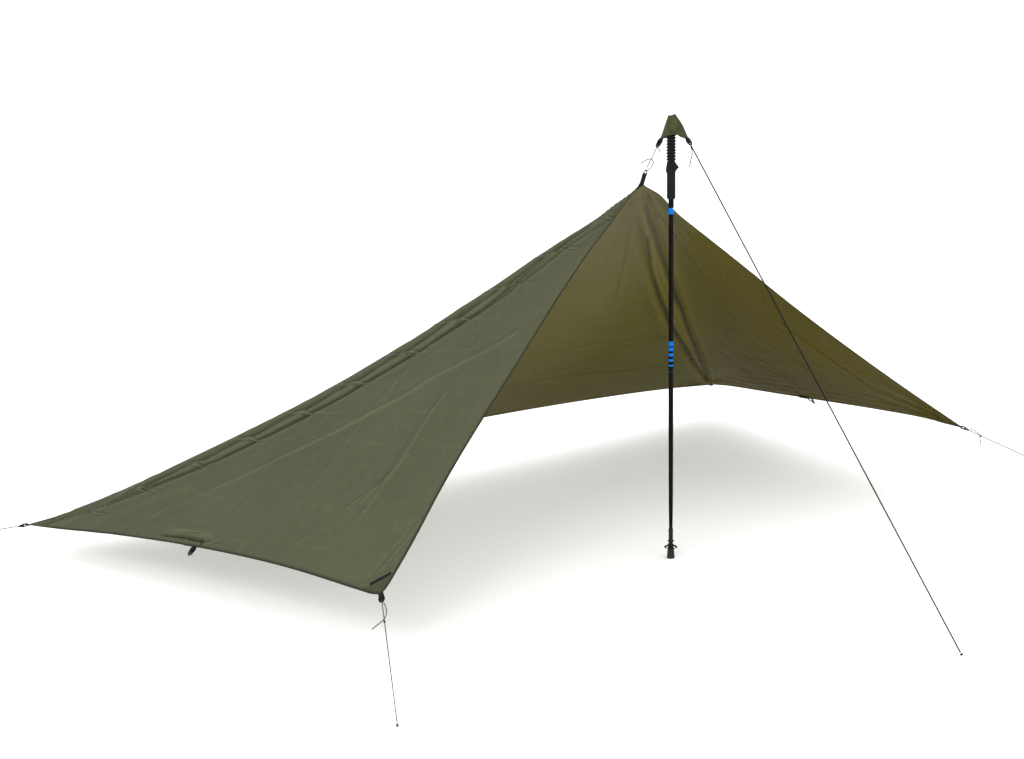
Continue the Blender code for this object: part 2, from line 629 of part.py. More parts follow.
# rubber foot: a cup that stands on the ground round the ferrule's end
turned("rubber_foot", [(0, 0.0090), (0.0048, 0.0090), (0.0048, 0.0180), (0.0062, 0.0180), (0.0062, FOOT_H - 0.0004),
                       (0.0098, FOOT_H - 0.0004), (0.0103, FOOT_H - 0.0020), (0.0112, 0.0080), (0.0119, 0.0040), (0.0119, 0.0010),
                       (0.0110, 0.0), (0, 0.0)], RUBBER, closed=False, steps=32)
# steel tip in the ferrule's end
turned("steel_tip", [(0, 0.0260), (0.0022, 0.0260), (0.0022, 0.0120), (0.0012, 0.0098), (0, 0.0098)], METAL, closed=False, steps=16)
# ferrule with the flange that the basket screws up to
turned("tip_ferrule", [(0, 0.0556), (SHAFT_TIP_R + 0.0003, 0.0556), (SHAFT_TIP_R + 0.0003, Z_FERRULE), (0.0066, Z_FERRULE),
                       (0.0070, Z_FERRULE - 0.003), (0.0067, 0.0600), (0.0067, 0.0565), (0.0095, 0.0552), (0.0098, 0.0540), (0.0095, 0.0526),
                       (0.0060, 0.0512), (0.0056, 0.0440), (0.0056, 0.0330), (0.0044, 0.0310), (0.0044, 0.0188), (0.0025, 0.0188),
                       (0.0025, 0.0268), (0, 0.0268)], PLASTIC, closed=False, steps=20)


def build_basket():
    """A hub with eight fingers that droop a little."""
    cu_hub = [(0.0082, 0.0455), (0.0088, 0.0440), (0.0088, 0.0345), (0.0060, 0.0345), (0.0060, 0.0455)]
    me = bpy.data.meshes.new("basket")
    n = len(cu_hub)
    me.from_pydata([(r, 0.0, z) for r, z in cu_hub], [(i, (i + 1) % n) for i in range(n)], [])
    ob = put("basket", me, PLASTIC)
    sc = ob.modifiers.new("turn", "SCREW")
    sc.axis, sc.angle, sc.steps, sc.render_steps = "Z", 2 * math.pi, 24, 24
    sc.use_merge_vertices, sc.merge_threshold = True, 0.00001
    fingers = bpy.data.collections.get("cutters") or bpy.data.collections.new("cutters")
    if fingers.name not in bpy.context.scene.collection.children:
        bpy.context.scene.collection.children.link(fingers)
    bm = bmesh.new()
    for k in range(8):
        a = 2 * math.pi * (k + 0.5) / 8
        res = bmesh.ops.create_cube(bm, size=1.0)
        for v in res["verts"]:
            out = v.co.x + 0.5
            x = 0.0068 + out * (0.0205 - 0.0068)
            y = v.co.y * (0.0062 - 0.0020 * out)
            z = 0.0405 - 0.0045 * out ** 2 + v.co.z * 0.0020
            v.co = Vector((x * math.cos(a) - y * math.sin(a), x * math.sin(a) + y * math.cos(a), z))
    bmesh.ops.recalc_face_normals(bm, faces=bm.faces)
    me2 = bpy.data.meshes.new("basket_fingers")
    bm.to_mesh(me2)
    bm.free()
    tool = bpy.data.objects.new("basket_fingers", me2)
    fingers.objects.link(tool)
    tool.hide_render = True
    tool.display_type = "WIRE"
    md = ob.modifiers.new("fingers", "BOOLEAN")
    md.operation = "UNION"
    md.object = tool


build_basket()

# lower shaft: a tube that tapers to the ferrule
turned("lower_shaft", [(SHAFT_R, Z_JOINT), (SHAFT_R, Z_TAPER), (0.0066, 0.215), (0.0062, 0.150), (0.0056, 0.110), (SHAFT_TIP_R, 0.094),
                       (SHAFT_TIP_R, 0.0560), (0.0040, 0.0560), (0.0040, 0.094), (0.0048, 0.150), (0.0058, Z_TAPER), (BORE_R, Z_JOINT - 0.060),
                       (BORE_R, Z_JOINT)], SHAFT, closed=True, steps=20)
# spigot, fixed in the upper shaft, that the lower shaft slides over
turned("shaft_spigot", [(0.0060, Z_JOINT + 0.045), (0.0060, Z_JOINT - 0.042), (0.0052, Z_JOINT - 0.047), (0.0030, Z_JOINT - 0.047),
                        (0.0030, Z_JOINT + 0.045)], ALLOY, closed=True, steps=20)
tube("inner_cord", straight(Vector((0, 0, 0.150)), Vector((0, 0, 0.950)), 6), 0.0014, GREY_CORD)
turned("upper_shaft", [(SHAFT_R, Z_INNER_TOP), (SHAFT_R, Z_JOINT + GAP), (BORE_R, Z_JOINT + GAP), (BORE_R, Z_INNER_TOP)], SHAFT, closed=True, steps=20)
# outer tube, with the blue band and its button round the upper shaft's top
O0, O1 = Z_OUTER
turned("outer_tube", [(OUTER_R, O1), (OUTER_R, O0), (OUTER_BORE, O0), (OUTER_BORE, O1)], SHAFT, closed=True, steps=24)
B0, B1 = Z_BAND
collar = turned("shaft_collar", [(BAND_R, B1), (BAND_R, B0 + 0.0004), (BAND_R - 0.0003, B0), (OUTER_BORE, B0), (OUTER_BORE, B1)], BLUE, closed=True,
                steps=32)
cutters = bpy.data.collections["cutters"]
bm = bmesh.new()
bmesh.ops.create_cone(bm, cap_ends=True, segments=20, radius1=0.0026, radius2=0.0026, depth=0.006)
me = bpy.data.meshes.new("button_hole")
bm.to_mesh(me)
bm.free()
hole = bpy.data.objects.new("button_hole", me)
cutters.objects.link(hole)
OUT = ACROSS.normalized()
BUTTON_WAY = Vector((0.146, -0.989, 0.0)).normalized()
hole.matrix_world = frame(BUTTON_WAY * 0.0078 + Vector((0, 0, BUTTON_Z)), Vector((0, 0, 1)), BUTTON_WAY)
hole.hide_render = True
hole.display_type = "WIRE"
cut = collar.modifiers.new("hole", "BOOLEAN")
cut.operation = "DIFFERENCE"
cut.object = hole
turned("release_button", [(0, 0.00125), (0.0013, 0.0011), (0.0020, 0.0007), (0.0023, 0.0002), (0.0023, 0.0), (0, 0.0)], METAL, closed=False, steps=20,
       matrix=frame(BUTTON_WAY * 0.00775 + Vector((0, 0, BUTTON_Z)), Vector((0, 0, 1)), BUTTON_WAY))

# sleeve, grip and head
S0, S1 = Z_SLEEVE
turned("grip_sleeve", [(SLEEVE_R, S1), (SLEEVE_R, S0 + 0.003), (SLEEVE_R - 0.0012, S0 + 0.0006), (SLEEVE_R - 0.0024, S0), (GRIP_BORE, S0), (GRIP_BORE, S1)],
       FOAM, closed=True, steps=24)


def build_grip():
    """Chevron ribs over a flange that runs out to a beak on one side."""
    g0, g1 = Z_GRIP
    around = 28
    valley, crest = GRIP_R
    levels = [(g1, valley, valley, 0.0)]        # height, radius away from the beak, radius at the beak, share of the chevron
    for k in range(RIBS):
        z = g1 - 0.0010 - k * RIB_PITCH
        levels += [(z, valley, valley, 1.0), (z - 0.0038, crest, crest, 1.0), (z - 0.0046, crest, crest, 1.0), (z - 0.0080, valley, valley, 1.0)]
    levels += [(1.1985, 0.0125, 0.0135, 0.0), (1.1940, 0.0132, 0.0163, 0.0), (1.1900, 0.0140, 0.0195, 0.0), (1.1862, 0.0147, 0.0222, 0.0),
               (1.1845, 0.0150, 0.0222, 0.0), (1.1800, 0.0156, 0.0176, 0.0), (1.1745, 0.0153, 0.0140, 0.0), (1.1700, 0.0138, 0.0128, 0.0),
               (g0, 0.0125, 0.0125, 0.0)]
    bm = bmesh.new()
    beak = math.atan2(OUT.y, OUT.x)
    rings = []
    for z, away, at, share in levels:
        ring = []
        for a in range(around):
            ang = 2 * math.pi * a / around
            w = ((1 + math.cos(ang)) / 2) ** 2.2
            r = away + (at - away) * w
            drop = share * CHEVRON * (1 - abs(math.cos(ang)))
            ring.append(bm.verts.new((r * math.cos(ang + beak), r * math.sin(ang + beak), z - drop)))
        rings.append(ring)
    for z in (g0, g1):
        rings.append([bm.verts.new((GRIP_BORE * math.cos(2 * math.pi * a / around + beak), GRIP_BORE * math.sin(2 * math.pi * a / around + beak), z))
                      for a in range(around)])
    for upper, lower in zip(rings, rings[1:] + rings[:1]):
        for a in range(around):
            b = (a + 1) % around
            bm.faces.new((upper[a], upper[b], lower[b], lower[a]))
    bmesh.ops.recalc_face_normals(bm, faces=bm.faces)
    from_bmesh("grip", bm, FOAM, sharp=35)


build_grip()
H0, H1 = Z_HEAD
turned("grip_head", [(0, H1), (0.0060, H1 - 0.0012), (0.0100, H1 - 0.0042), (0.0128, H1 - 0.0090), (0.0134, H0 + 0.0020), (0.0130, H0), (0, H0)],
       PLASTIC, closed=False, steps=24)
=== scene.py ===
"""Looks of the camping tarp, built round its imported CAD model.

Metres, +Z up, origin under the pole's foot. The dimensions repeat those of the CAD source.
"""
import json
import math

import bmesh
import bpy
import numpy as np
from mathutils import Matrix, Vector

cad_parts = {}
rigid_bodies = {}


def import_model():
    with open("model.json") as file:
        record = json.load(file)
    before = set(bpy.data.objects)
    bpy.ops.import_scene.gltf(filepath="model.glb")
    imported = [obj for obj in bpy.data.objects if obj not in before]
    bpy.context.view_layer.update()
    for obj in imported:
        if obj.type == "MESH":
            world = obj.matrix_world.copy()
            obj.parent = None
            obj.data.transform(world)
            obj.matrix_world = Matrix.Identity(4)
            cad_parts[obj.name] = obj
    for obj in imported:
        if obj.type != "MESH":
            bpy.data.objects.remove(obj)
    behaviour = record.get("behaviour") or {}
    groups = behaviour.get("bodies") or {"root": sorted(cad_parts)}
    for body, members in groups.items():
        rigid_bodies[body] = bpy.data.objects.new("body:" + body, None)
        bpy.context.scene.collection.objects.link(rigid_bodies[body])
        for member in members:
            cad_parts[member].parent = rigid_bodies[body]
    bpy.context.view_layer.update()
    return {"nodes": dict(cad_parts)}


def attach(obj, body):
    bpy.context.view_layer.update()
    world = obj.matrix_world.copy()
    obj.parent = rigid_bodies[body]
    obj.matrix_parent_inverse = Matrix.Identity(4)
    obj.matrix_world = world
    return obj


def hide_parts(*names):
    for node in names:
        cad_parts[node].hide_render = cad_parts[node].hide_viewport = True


for old in list(bpy.data.objects):
    bpy.data.objects.remove(old, do_unlink=True)

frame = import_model()
NODES = frame["nodes"]
SCENE = bpy.context.scene


# ================================================================ camera
def make_camera():
    f, tilt, roll, heading = 1580.057, 0.2001446, -0.0193941, 0.6560915
    right = Vector((math.cos(heading), -math.sin(heading), 0))
    ahead = Vector((math.cos(tilt) * math.sin(heading), math.cos(tilt) * math.cos(heading), -math.sin(tilt)))
    up = right.cross(ahead)
    x = right * math.cos(roll) + up * math.sin(roll)
    y = -right * math.sin(roll) + up * math.cos(roll)
    cam = bpy.data.cameras.new("camera")
    cam.sensor_width = 36
    cam.lens = f * 36 / 1024
    ob = bpy.data.objects.new("camera", cam)
    SCENE.collection.objects.link(ob)
    m = Matrix((x, y, -ahead)).transposed().to_4x4()
    m.translation = (-3.195377, -3.372786, 1.502965)
    ob.matrix_world = m
    SCENE.camera = ob


make_camera()

# ================================================================ dimensions, as in the CAD source
HALF_WIDTH, DEPTH, CELLS = 1.5, 1.5, 12
APEX = Vector((0.0, 0.129, 1.125))
FRONT_LEFT = Vector((-1.145, -0.150, 0.186))
FRONT_RIGHT = Vector((1.155, -0.191, 0.262))
REAR_LEFT = Vector((-1.491, 1.356, 0.096))
REAR_RIGHT = Vector((1.491, 1.322, 0.130))
BOW_AT = (0.10, 0.25, 0.50, 0.75, 0.90)
BOW_FRONT_L = (0.027, 0.038, 0.034, 0.024, 0.005)
BOW_FRONT_R = (0.006, 0.017, 0.046, 0.039, 0.020)
BOW_SIDE_L = (0.006, 0.021, 0.033, 0.025, 0.010)
BOW_SIDE_R = (0.014, 0.019, 0.026, 0.029, 0.024)
BOW_REAR = (0.050, 0.100, 0.130, 0.098, 0.050)
SAG_RIDGE_L = (0.023, 0.052, 0.081, 0.063, 0.035)
SAG_RIDGE_R = (0.010, 0.020, 0.025, 0.012, 0.005)
PEG_FRONT = Vector((0.0, -1.065, 0.0))
PEG_FRONT_LEFT = Vector((-1.337, -0.501, 0.0))
PEG_REAR_LEFT = Vector((-1.791, 1.713, 0.0))
PEG_REAR_RIGHT = Vector((1.652, 1.848, 0.0))
PEG_FRONT_RIGHT = Vector((1.525, -0.634, 0.0))
KNOT_R, CORD_D, GUY_D, GAP = 0.0042, 0.0024, 0.0036, 0.0003
WEB_W, WEB_T, WEB_GAP, LOOP_L = 0.013, 0.0016, 0.006, 0.0195
APEX_LOOP_L, APEX_WEB_W, GUY_LOOP_L = 0.0419, 0.010, 0.0125
TEN_W, TEN_BAR, TEN_L, TEN_T = 0.0092, 0.0016, 0.0160, 0.0040
RING_WIRE, RING_W, RING_H = 0.0032, 0.0190, 0.018
ACROSS = Vector((0.792, -0.610, 0.0))
OUT = ACROSS.normalized()
NEAR = Vector((-0.61, -0.792, 0.0))


# ================================================================ node materials
class Nodes:
    """A short way to write a node material."""

    def __init__(self, name, base=(0.5, 0.5, 0.5), rough=0.5, metal=0.0, spec=0.5):
        self.m = bpy.data.materials.new(name)
        self.m.use_nodes = True
        self.t = self.m.node_tree
        self.p = self.t.nodes["Principled BSDF"]
        self.p.inputs["Base Color"].default_value = (*base, 1)
        self.p.inputs["Roughness"].default_value = rough
        self.p.inputs["Metallic"].default_value = metal
        self.p.inputs["Specular IOR Level"].default_value = spec
        self.coords = self.t.nodes.new("ShaderNodeTexCoord")

    def new(self, kind, **props):
        n = self.t.nodes.new(kind)
        for k, v in props.items():
            setattr(n, k, v)
        return n

    def feed(self, socket, value):
        if isinstance(value, bpy.types.NodeSocket):
            self.t.links.new(value, socket)
        else:
            socket.default_value = value

    def math(self, op, a, b=0.0, c=0.0, clamp=False):
        n = self.new("ShaderNodeMath", operation=op, use_clamp=clamp)
        for k, v in enumerate((a, b, c)):
            self.feed(n.inputs[k], v)
        return n.outputs[0]

    def ramp(self, value, lo, hi, a=0.0, b=1.0):
        n = self.new("ShaderNodeMapRange", interpolation_type="SMOOTHSTEP")
        for k, v in zip(("Value", "From Min", "From Max", "To Min", "To Max"), (value, lo, hi, a, b)):
            self.feed(n.inputs[k], v)
        return n.outputs["Result"]

    def mix(self, fac, a, b, blend="MIX"):
        n = self.new("ShaderNodeMix", data_type="RGBA", blend_type=blend)
        self.feed(n.inputs[0], fac)
        for k, v in ((6, a), (7, b)):
            self.feed(n.inputs[k], (*v, 1) if isinstance(v, tuple) else v)
        return n.outputs[2]

    def noise(self, scale, detail=3.0, rough=0.5, vector=None, stretch=None):
        v = vector or self.coords.outputs["Object"]
        if stretch:
            mp = self.new("ShaderNodeMapping")
            mp.inputs["Scale"].default_value = stretch
            self.t.links.new(v, mp.inputs["Vector"])
            v = mp.outputs[0]
        n = self.new("ShaderNodeTexNoise")
        self.t.links.new(v, n.inputs["Vector"])
        n.inputs["Scale"].default_value = scale
        n.inputs["Detail"].default_value = detail
        n.inputs["Roughness"].default_value = rough
        return n.outputs["Fac"]

    def split(self, vector):
        n = self.new("ShaderNodeSeparateXYZ")
        self.t.links.new(vector, n.inputs[0])
        return n.outputs

    def uv(self, layer):
        return self.new("ShaderNodeUVMap", uv_map=layer).outputs[0]

    def colour(self, value):
        self.t.links.new(value, self.p.inputs["Base Color"])

    def rough(self, value):
        self.t.links.new(value, self.p.inputs["Roughness"])

    def bump(self, height, distance, strength=1.0, under=None):
        n = self.new("ShaderNodeBump")
        n.inputs["Strength"].default_value = strength
        n.inputs["Distance"].default_value = distance
        self.t.links.new(height, n.inputs["Height"])
        if under is not None:
            self.t.links.new(under, n.inputs["Normal"])
        return n.outputs[0]

    def normal(self, value):
        self.t.links.new(value, self.p.inputs["Normal"])


# thin folds of the sheet, by flat distance from the middle (|s|) and from the front edge (t): line, half width, dark
# (painted shade), light (painted highlight), depth
FOLDS_LEFT = (
    [((0.200, 0.120), (0.480, 0.320), 0.0060, 0.75, 0.25, 1.0), ((0.480, 0.320), (1.120, 0.960), 0.0075, 0.85, 0.30, 1.0),
     ((1.120, 0.960), (1.440, 1.360), 0.0060, 0.75, 0.25, 0.8)]
    + [((0.150, 0.095), (0.440, 0.350), 0.0105, 0.55, 0.15, 0.6), ((0.440, 0.350), (1.080, 0.992), 0.0130, 0.60, 0.15, 0.6),
       ((1.080, 0.992), (1.430, 1.385), 0.0095, 0.55, 0.15, 0.5)]
    + [((0.582, 0.090), (0.746, 0.320), 0.0120, 0.10, 0.45, 0.7), ((0.746, 0.320), (0.996, 0.594), 0.0130, 0.10, 0.50, 0.7),
       ((0.996, 0.594), (1.234, 0.871), 0.0110, 0.10, 0.40, 0.6),
       ((0.863, 0.230), (1.121, 0.211), 0.0050, 0.20, 0.55, 0.7), ((1.121, 0.211), (1.266, 0.305), 0.0050, 0.20, 0.60, 0.7),
       ((1.051, 0.203), (1.242, 0.266), 0.0055, 0.20, 0.45, 0.5), ((1.254, 0.012), (1.348, 0.035), 0.0040, 0.25, 0.55, 0.6),
       ((1.348, 0.035), (1.441, 0.055), 0.0040, 0.25, 0.55, 0.6),
       ((1.471, 0.900), (1.463, 0.805), 0.0050, 0.85, 0.35, 1.3), ((1.463, 0.805), (1.470, 0.725), 0.0060, 0.95, 0.40, 1.5),
       ((1.470, 0.725), (1.492, 0.712), 0.0065, 1.00, 0.20, 1.5), ((1.456, 0.850), (1.440, 0.735), 0.0050, 0.20, 0.50, 0.9),
       ((1.480, 0.690), (1.420, 0.600), 0.0045, 0.30, 0.35, 0.6)]
)
FOLDS_RIGHT = (
    [((0.100, 0.104), (0.700, 0.706), 0.0110, 1.00, 0.30, 1.2), ((0.700, 0.706), (1.440, 1.452), 0.0095, 0.95, 0.30, 1.2),
     ((0.230, 0.270), (0.453, 0.543), 0.0080, 0.55, 0.30, 0.7), ((0.453, 0.543), (0.793, 0.887), 0.0110, 0.85, 0.35, 1.0),
     ((0.793, 0.887), (1.215, 1.270), 0.0100, 0.85, 0.30, 1.0), ((1.215, 1.270), (1.460, 1.478), 0.0070, 0.75, 0.25, 0.9),
     ((0.080, 0.160), (0.330, 0.620), 0.0085, 0.30, 0.25, 0.5), ((0.040, 0.100), (0.130, 0.420), 0.0070, 0.22, 0.22, 0.4),
     ((0.150, 0.100), (0.620, 0.360), 0.0065, 0.30, 0.25, 0.5), ((0.200, 0.060), (0.560, 0.130), 0.0050, 0.25, 0.25, 0.4),
     ((0.300, 0.030), (0.760, 0.060), 0.0050, 0.22, 0.20, 0.4),
     ((1.405, 0.030), (1.488, 0.010), 0.0100, 1.00, 0.20, 1.0), ((1.430, 0.070), (1.486, 0.022), 0.0060, 0.80, 0.30, 0.8),
     ((1.340, 0.050), (1.430, 0.030), 0.0050, 0.50, 0.30, 0.7),
     ((1.470, 0.880), (1.450, 0.805), 0.0050, 0.35, 0.30, 0.5), ((1.450, 0.805), (1.476, 0.700), 0.0055, 0.35, 0.30, 0.5)]
)


def fold_lines(n, a, t, wander, lines):
    """Sums the folds' painted shade on their dark flanks, painted highlight on their light flanks, and their depth over
    the flat sheet.
    """
    total = None
    for (s0, t0), (s1, t1), half, dark, light, deep in lines:
        length = math.hypot(s1 - s0, t1 - t0)
        ux, uy = (s1 - s0) / length, (t1 - t0) / length
        run = n.math("MULTIPLY_ADD", a, ux, n.math("MULTIPLY_ADD", t, uy, -(s0 * ux + t0 * uy)))
        off = n.math("MULTIPLY_ADD", a, -uy, n.math("MULTIPLY_ADD", t, ux, n.math("SUBTRACT", wander, t0 * ux - s0 * uy)))
        over = n.math("MAXIMUM", n.math("MULTIPLY", run, -1.0), n.math("SUBTRACT", run, length))
        gate = n.ramp(over, -0.012, 0.014, 1.0, 0.0)
        d = n.math("MULTIPLY", gate, n.ramp(n.math("ABSOLUTE", n.math("SUBTRACT", off, half * 0.5)), 0.0, half * 1.4, dark, 0.0))
        l = n.math("MULTIPLY", gate, n.ramp(n.math("ABSOLUTE", n.math("ADD", off, half * 1.1)), 0.0, half * 1.2, light, 0.0))
        h = n.math("MULTIPLY", gate, n.ramp(n.math("ABSOLUTE", off), 0.0, half * 1.6, deep, 0.0))
        total = [d, l, h] if total is None else [n.math("MAXIMUM", x, y) for x, y in zip(total, (d, l, h))]
    return total


def cloth_material(name, base, dark, rough, inside=False):
    """Coated ripstop: fine weave, a grid of thicker yarns, hem and stitching laid out on the flat sheet, with painted
    shade and painted highlights on its folds, creases and wrinkles.
    """
    n = Nodes(name, base, rough, spec=0.07 if inside else 0.11)
    s, t, _ = n.split(n.uv("flat"))
    a = n.math("ABSOLUTE", s)
    side = n.math("SUBTRACT", HALF_WIDTH, a)
    ends = n.math("MINIMUM", t, n.math("SUBTRACT", DEPTH, t))
    edge = n.math("MINIMUM", side, ends)
    along_t = n.math("LESS_THAN", side, ends)
    along = n.math("ADD", n.math("MULTIPLY", t, along_t), n.math("MULTIPLY", s, n.math("SUBTRACT", 1.0, along_t)))
    # one row of hem stitches
    row = n.ramp(n.math("ABSOLUTE", n.math("SUBTRACT", edge, 0.0092)), 0.0003, 0.0007, 1.0, 0.0)
    dash = n.math("LESS_THAN", n.math("FRACT", n.math("DIVIDE", along, 0.0036)), 0.72)
    stitch = n.math("MULTIPLY", row, dash)
    pull = n.ramp(n.math("ABSOLUTE", n.math("SUBTRACT", edge, 0.0092)), 0.0, 0.0022, 1.0, 0.0)
    # yarns
    yarn = 0.00045
    wx = n.math("SINE", n.math("MULTIPLY", s, 2 * math.pi / yarn))
    wy = n.math("SINE", n.math("MULTIPLY", t, 2 * math.pi / yarn))
    weave = n.math("MULTIPLY", n.math("MULTIPLY", wx, wy), 0.5)
    rib = 0.0050
    gx = n.ramp(n.math("ABSOLUTE", n.math("SUBTRACT", n.math("FRACT", n.math("DIVIDE", s, rib)), 0.5)), 0.42, 0.48)
    gy = n.ramp(n.math("ABSOLUTE", n.math("SUBTRACT", n.math("FRACT", n.math("DIVIDE", t, rib)), 0.5)), 0.42, 0.48)
    grid = n.math("MAXIMUM", gx, gy)
    broad = n.noise(2.3, 4.0, 0.55)
    fine = n.noise(31.0, 5.0, 0.6)
    flat = n.uv("flat")
    wander = n.math("MULTIPLY", n.math("SUBTRACT", n.noise(7.0, 2.0, 0.5, vector=flat), 0.5), 0.016)
    patchy = n.noise(5.0, 2.0, 0.5, vector=flat)
    left = n.math("LESS_THAN", s, 0.0)
    right = n.math("SUBTRACT", 1.0, left)
    fl = fold_lines(n, a, t, wander, FOLDS_LEFT)
    fr = fold_lines(n, a, t, wander, FOLDS_RIGHT)
    shaded, lit, depth = (n.math("ADD", n.math("MULTIPLY", x, left), n.math("MULTIPLY", y, right)) for x, y in zip(fl, fr))
    # creases of the imported sheet: one every 128 mm across, some lengthwise, each patchy along its line; painted
    # highlight along them and painted shade beside them in the roll under the left ridge
    pack_a = n.math("ABSOLUTE", n.math("SUBTRACT", n.math("FRACT", n.math("DIVIDE", n.math("ADD", a, n.math("MULTIPLY_ADD", wander, 0.6, 0.0643)), 0.1285)), 0.5))
    pack_t = n.math("ABSOLUTE", n.math("SUBTRACT", n.math("FRACT", n.math("DIVIDE", n.math("ADD", t, n.math("MULTIPLY_ADD", wander, 0.8, 0.055)), 0.245)), 0.5))
    off = n.math("ABSOLUTE", n.math("MULTIPLY", n.math("SUBTRACT", a, t), 0.7071))
    roll = n.math("MULTIPLY", n.math("MULTIPLY", n.ramp(off, 0.030, 0.060), n.ramp(off, 0.125, 0.150, 1.0, 0.0)), left)
    tick = n.math("MULTIPLY", n.ramp(pack_a, 0.0, 0.026, 1.0, 0.0), n.math("MAXIMUM", n.math("MULTIPLY", roll, 0.9), n.ramp(patchy, 0.46, 0.66, 0.0, 0.40)))
    side_a = n.math("MULTIPLY", n.ramp(n.math("ABSOLUTE", n.math("SUBTRACT", pack_a, 0.052)), 0.0, 0.040, 1.0, 0.0), n.math("MULTIPLY", roll, 0.55))
    long = n.math("MULTIPLY", n.ramp(pack_t, 0.0, 0.011, 1.0, 0.0), n.ramp(patchy, 0.60, 0.44, 0.0, 0.30))
    lines = n.math("MAXIMUM", tick, long)
    # short soft wrinkles, raised in the bump, with painted highlight on their crests and painted shade in their troughs
    wrinkle = n.noise(16.0, 5.0, 0.6, vector=flat, stretch=(1.0, 2.6, 1.0))
    shade = n.math("ADD", n.math("MULTIPLY", broad, 0.75), n.math("MULTIPLY", fine, 0.25))
    colour = n.mix(n.ramp(shade, 0.30, 0.70), dark, base)
    colour = n.mix(n.ramp(wrinkle, 0.54, 0.68, 0.0, 0.26), colour, tuple(c * 1.35 for c in base))
    colour = n.mix(n.ramp(wrinkle, 0.44, 0.32, 0.0, 0.26), colour, tuple(c * 0.70 for c in base))
    # crinkle lines, raised in the bump, with painted highlight along them
    crinkle = n.new("ShaderNodeTexVoronoi", feature="DISTANCE_TO_EDGE")
    warp = n.new("ShaderNodeVectorMath", operation="MULTIPLY_ADD")
    bent = n.new("ShaderNodeTexNoise")
    bent.inputs["Scale"].default_value = 4.0
    n.t.links.new(flat, bent.inputs["Vector"])
    n.t.links.new(bent.outputs["Color"], warp.inputs[0])
    warp.inputs[1].default_value = (0.06, 0.06, 0.0)
    n.t.links.new(flat, warp.inputs[2])
    n.t.links.new(warp.outputs[0], crinkle.inputs["Vector"])
    crinkle.inputs["Scale"].default_value = 7.5
    ridge = n.math("MULTIPLY", n.ramp(crinkle.outputs["Distance"], 0.0, 0.030, 1.0, 0.0), n.ramp(patchy, 0.42, 0.60, 0.0, 0.55))
    colour = n.mix(n.math("MULTIPLY", ridge, 0.30), colour, tuple(c * 1.60 for c in base))
    colour = n.mix(n.math("MULTIPLY", grid, 0.10), colour, tuple(c * 1.22 for c in base))
    # painted shade in the relief's grooves and painted highlight on its lips, read from the crease attribute
    crease_shade_tone = n.new("ShaderNodeAttribute", attribute_name="crease").outputs["Fac"]
    colour = n.mix(n.ramp(crease_shade_tone, 0.5, 1.0, 0.0, 0.55), colour, tuple(c * 0.45 for c in base))
    colour = n.mix(n.ramp(crease_shade_tone, 0.5, 0.0, 0.0, 0.45), colour, tuple(c * 1.55 for c in base))
    # painted shade on the folds' dark flanks and beside the packing creases in the roll
    colour = n.mix(n.math("MULTIPLY", n.math("MAXIMUM", shaded, side_a), n.math("MULTIPLY_ADD", right, 0.20, 0.66)), colour, tuple(c * 0.20 for c in base))
    # painted highlight on the folds' light flanks and along the packing creases
    colour = n.mix(n.math("MULTIPLY", n.math("MAXIMUM", lit, lines), 0.65), colour, tuple(c * 1.85 for c in base))
    # painted shade: the tab's corner is thick with folded cloth, and below the tab its colour is painted darker
    folded = n.math("MULTIPLY", n.ramp(n.math("ADD", side, t), 0.062, 0.088, 1.0, 0.0), left)
    colour = n.mix(n.math("MULTIPLY", folded, 0.60), colour, tuple(c * 0.42 for c in base))
    hem = n.ramp(edge, 0.0085, 0.0112, 1.0, 0.0)
    colour = n.mix(n.math("MULTIPLY", hem, 0.62), colour, tuple(c * 0.50 for c in base))
    colour = n.mix(n.ramp(edge, 0.0044, 0.0066, 0.85, 0.0), colour, tuple(c * 0.26 for c in base))
    colour = n.mix(n.math("MULTIPLY", stitch, 0.75), colour, tuple(c * 0.36 for c in base))
    if inside:
        # painted light and shade on the inside face: painted light makes it paler and bluer high up, painted shade
        # makes it darker low down and darker and warmer on the right wing
        z = n.split(n.coords.outputs["Object"])[2]
        colour = n.mix(n.ramp(z, 0.55, 1.20, 0.0, 0.60), colour, tuple(c * k for c, k in zip(base, (1.25, 1.28, 3.0))))
        colour = n.mix(n.ramp(z, 0.60, 0.15, 0.0, 0.55), colour, tuple(c * 0.42 for c in base))
        colour = n.mix(n.ramp(s, 0.15, 0.60), colour, (0.84, 0.82, 0.34), "MULTIPLY")
        colour = n.mix(n.ramp(n.math("SUBTRACT", s, t), 0.03, 0.30), colour, (0.80, 0.74, 0.15), "MULTIPLY")
    n.colour(colour)
    n.rough(n.ramp(fine, 0.2, 0.8, rough - 0.05, rough + 0.06))
    b = n.bump(n.math("ADD", weave, n.math("MULTIPLY", grid, 1.2)), 0.00004, 0.5)
    b = n.bump(n.math("SUBTRACT", stitch, n.math("MULTIPLY", pull, 0.8)), 0.0004, 0.8, b)
    b = n.bump(n.noise(9.0, 6.0, 0.62), 0.0016, 0.55, b)
    b = n.bump(wrinkle, 0.0030, 0.60, b)
    b = n.bump(n.math("SUBTRACT", n.math("MULTIPLY", n.math("MAXIMUM", lines, ridge), 0.35), depth), -0.0040 if inside else 0.0040, 0.9, b)
    n.normal(b)
    return n.m


def webbing_material(name, base):
    """Woven tape: picks across it, a twill across them."""
    n = Nodes(name, base, 0.82, spec=0.18)
    u, v, _ = n.split(n.uv("flat"))
    pick = n.math("SINE", n.math("MULTIPLY", u, 2 * math.pi / 0.0011))
    twill = n.math("SINE", n.math("MULTIPLY", n.math("ADD", u, n.math("MULTIPLY", v, 1.6)), 2 * math.pi / 0.0019))
    h = n.math("ADD", n.math("MULTIPLY", pick, 0.6), twill)
    n.colour(n.mix(n.ramp(h, -1.4, 1.4), tuple(c * 0.55 for c in base), tuple(c * 1.7 for c in base)))
    n.rough(n.ramp(n.noise(140.0), 0.3, 0.7, 0.74, 0.9))
    n.normal(n.bump(h, 0.00018, 0.9))
    return n.m


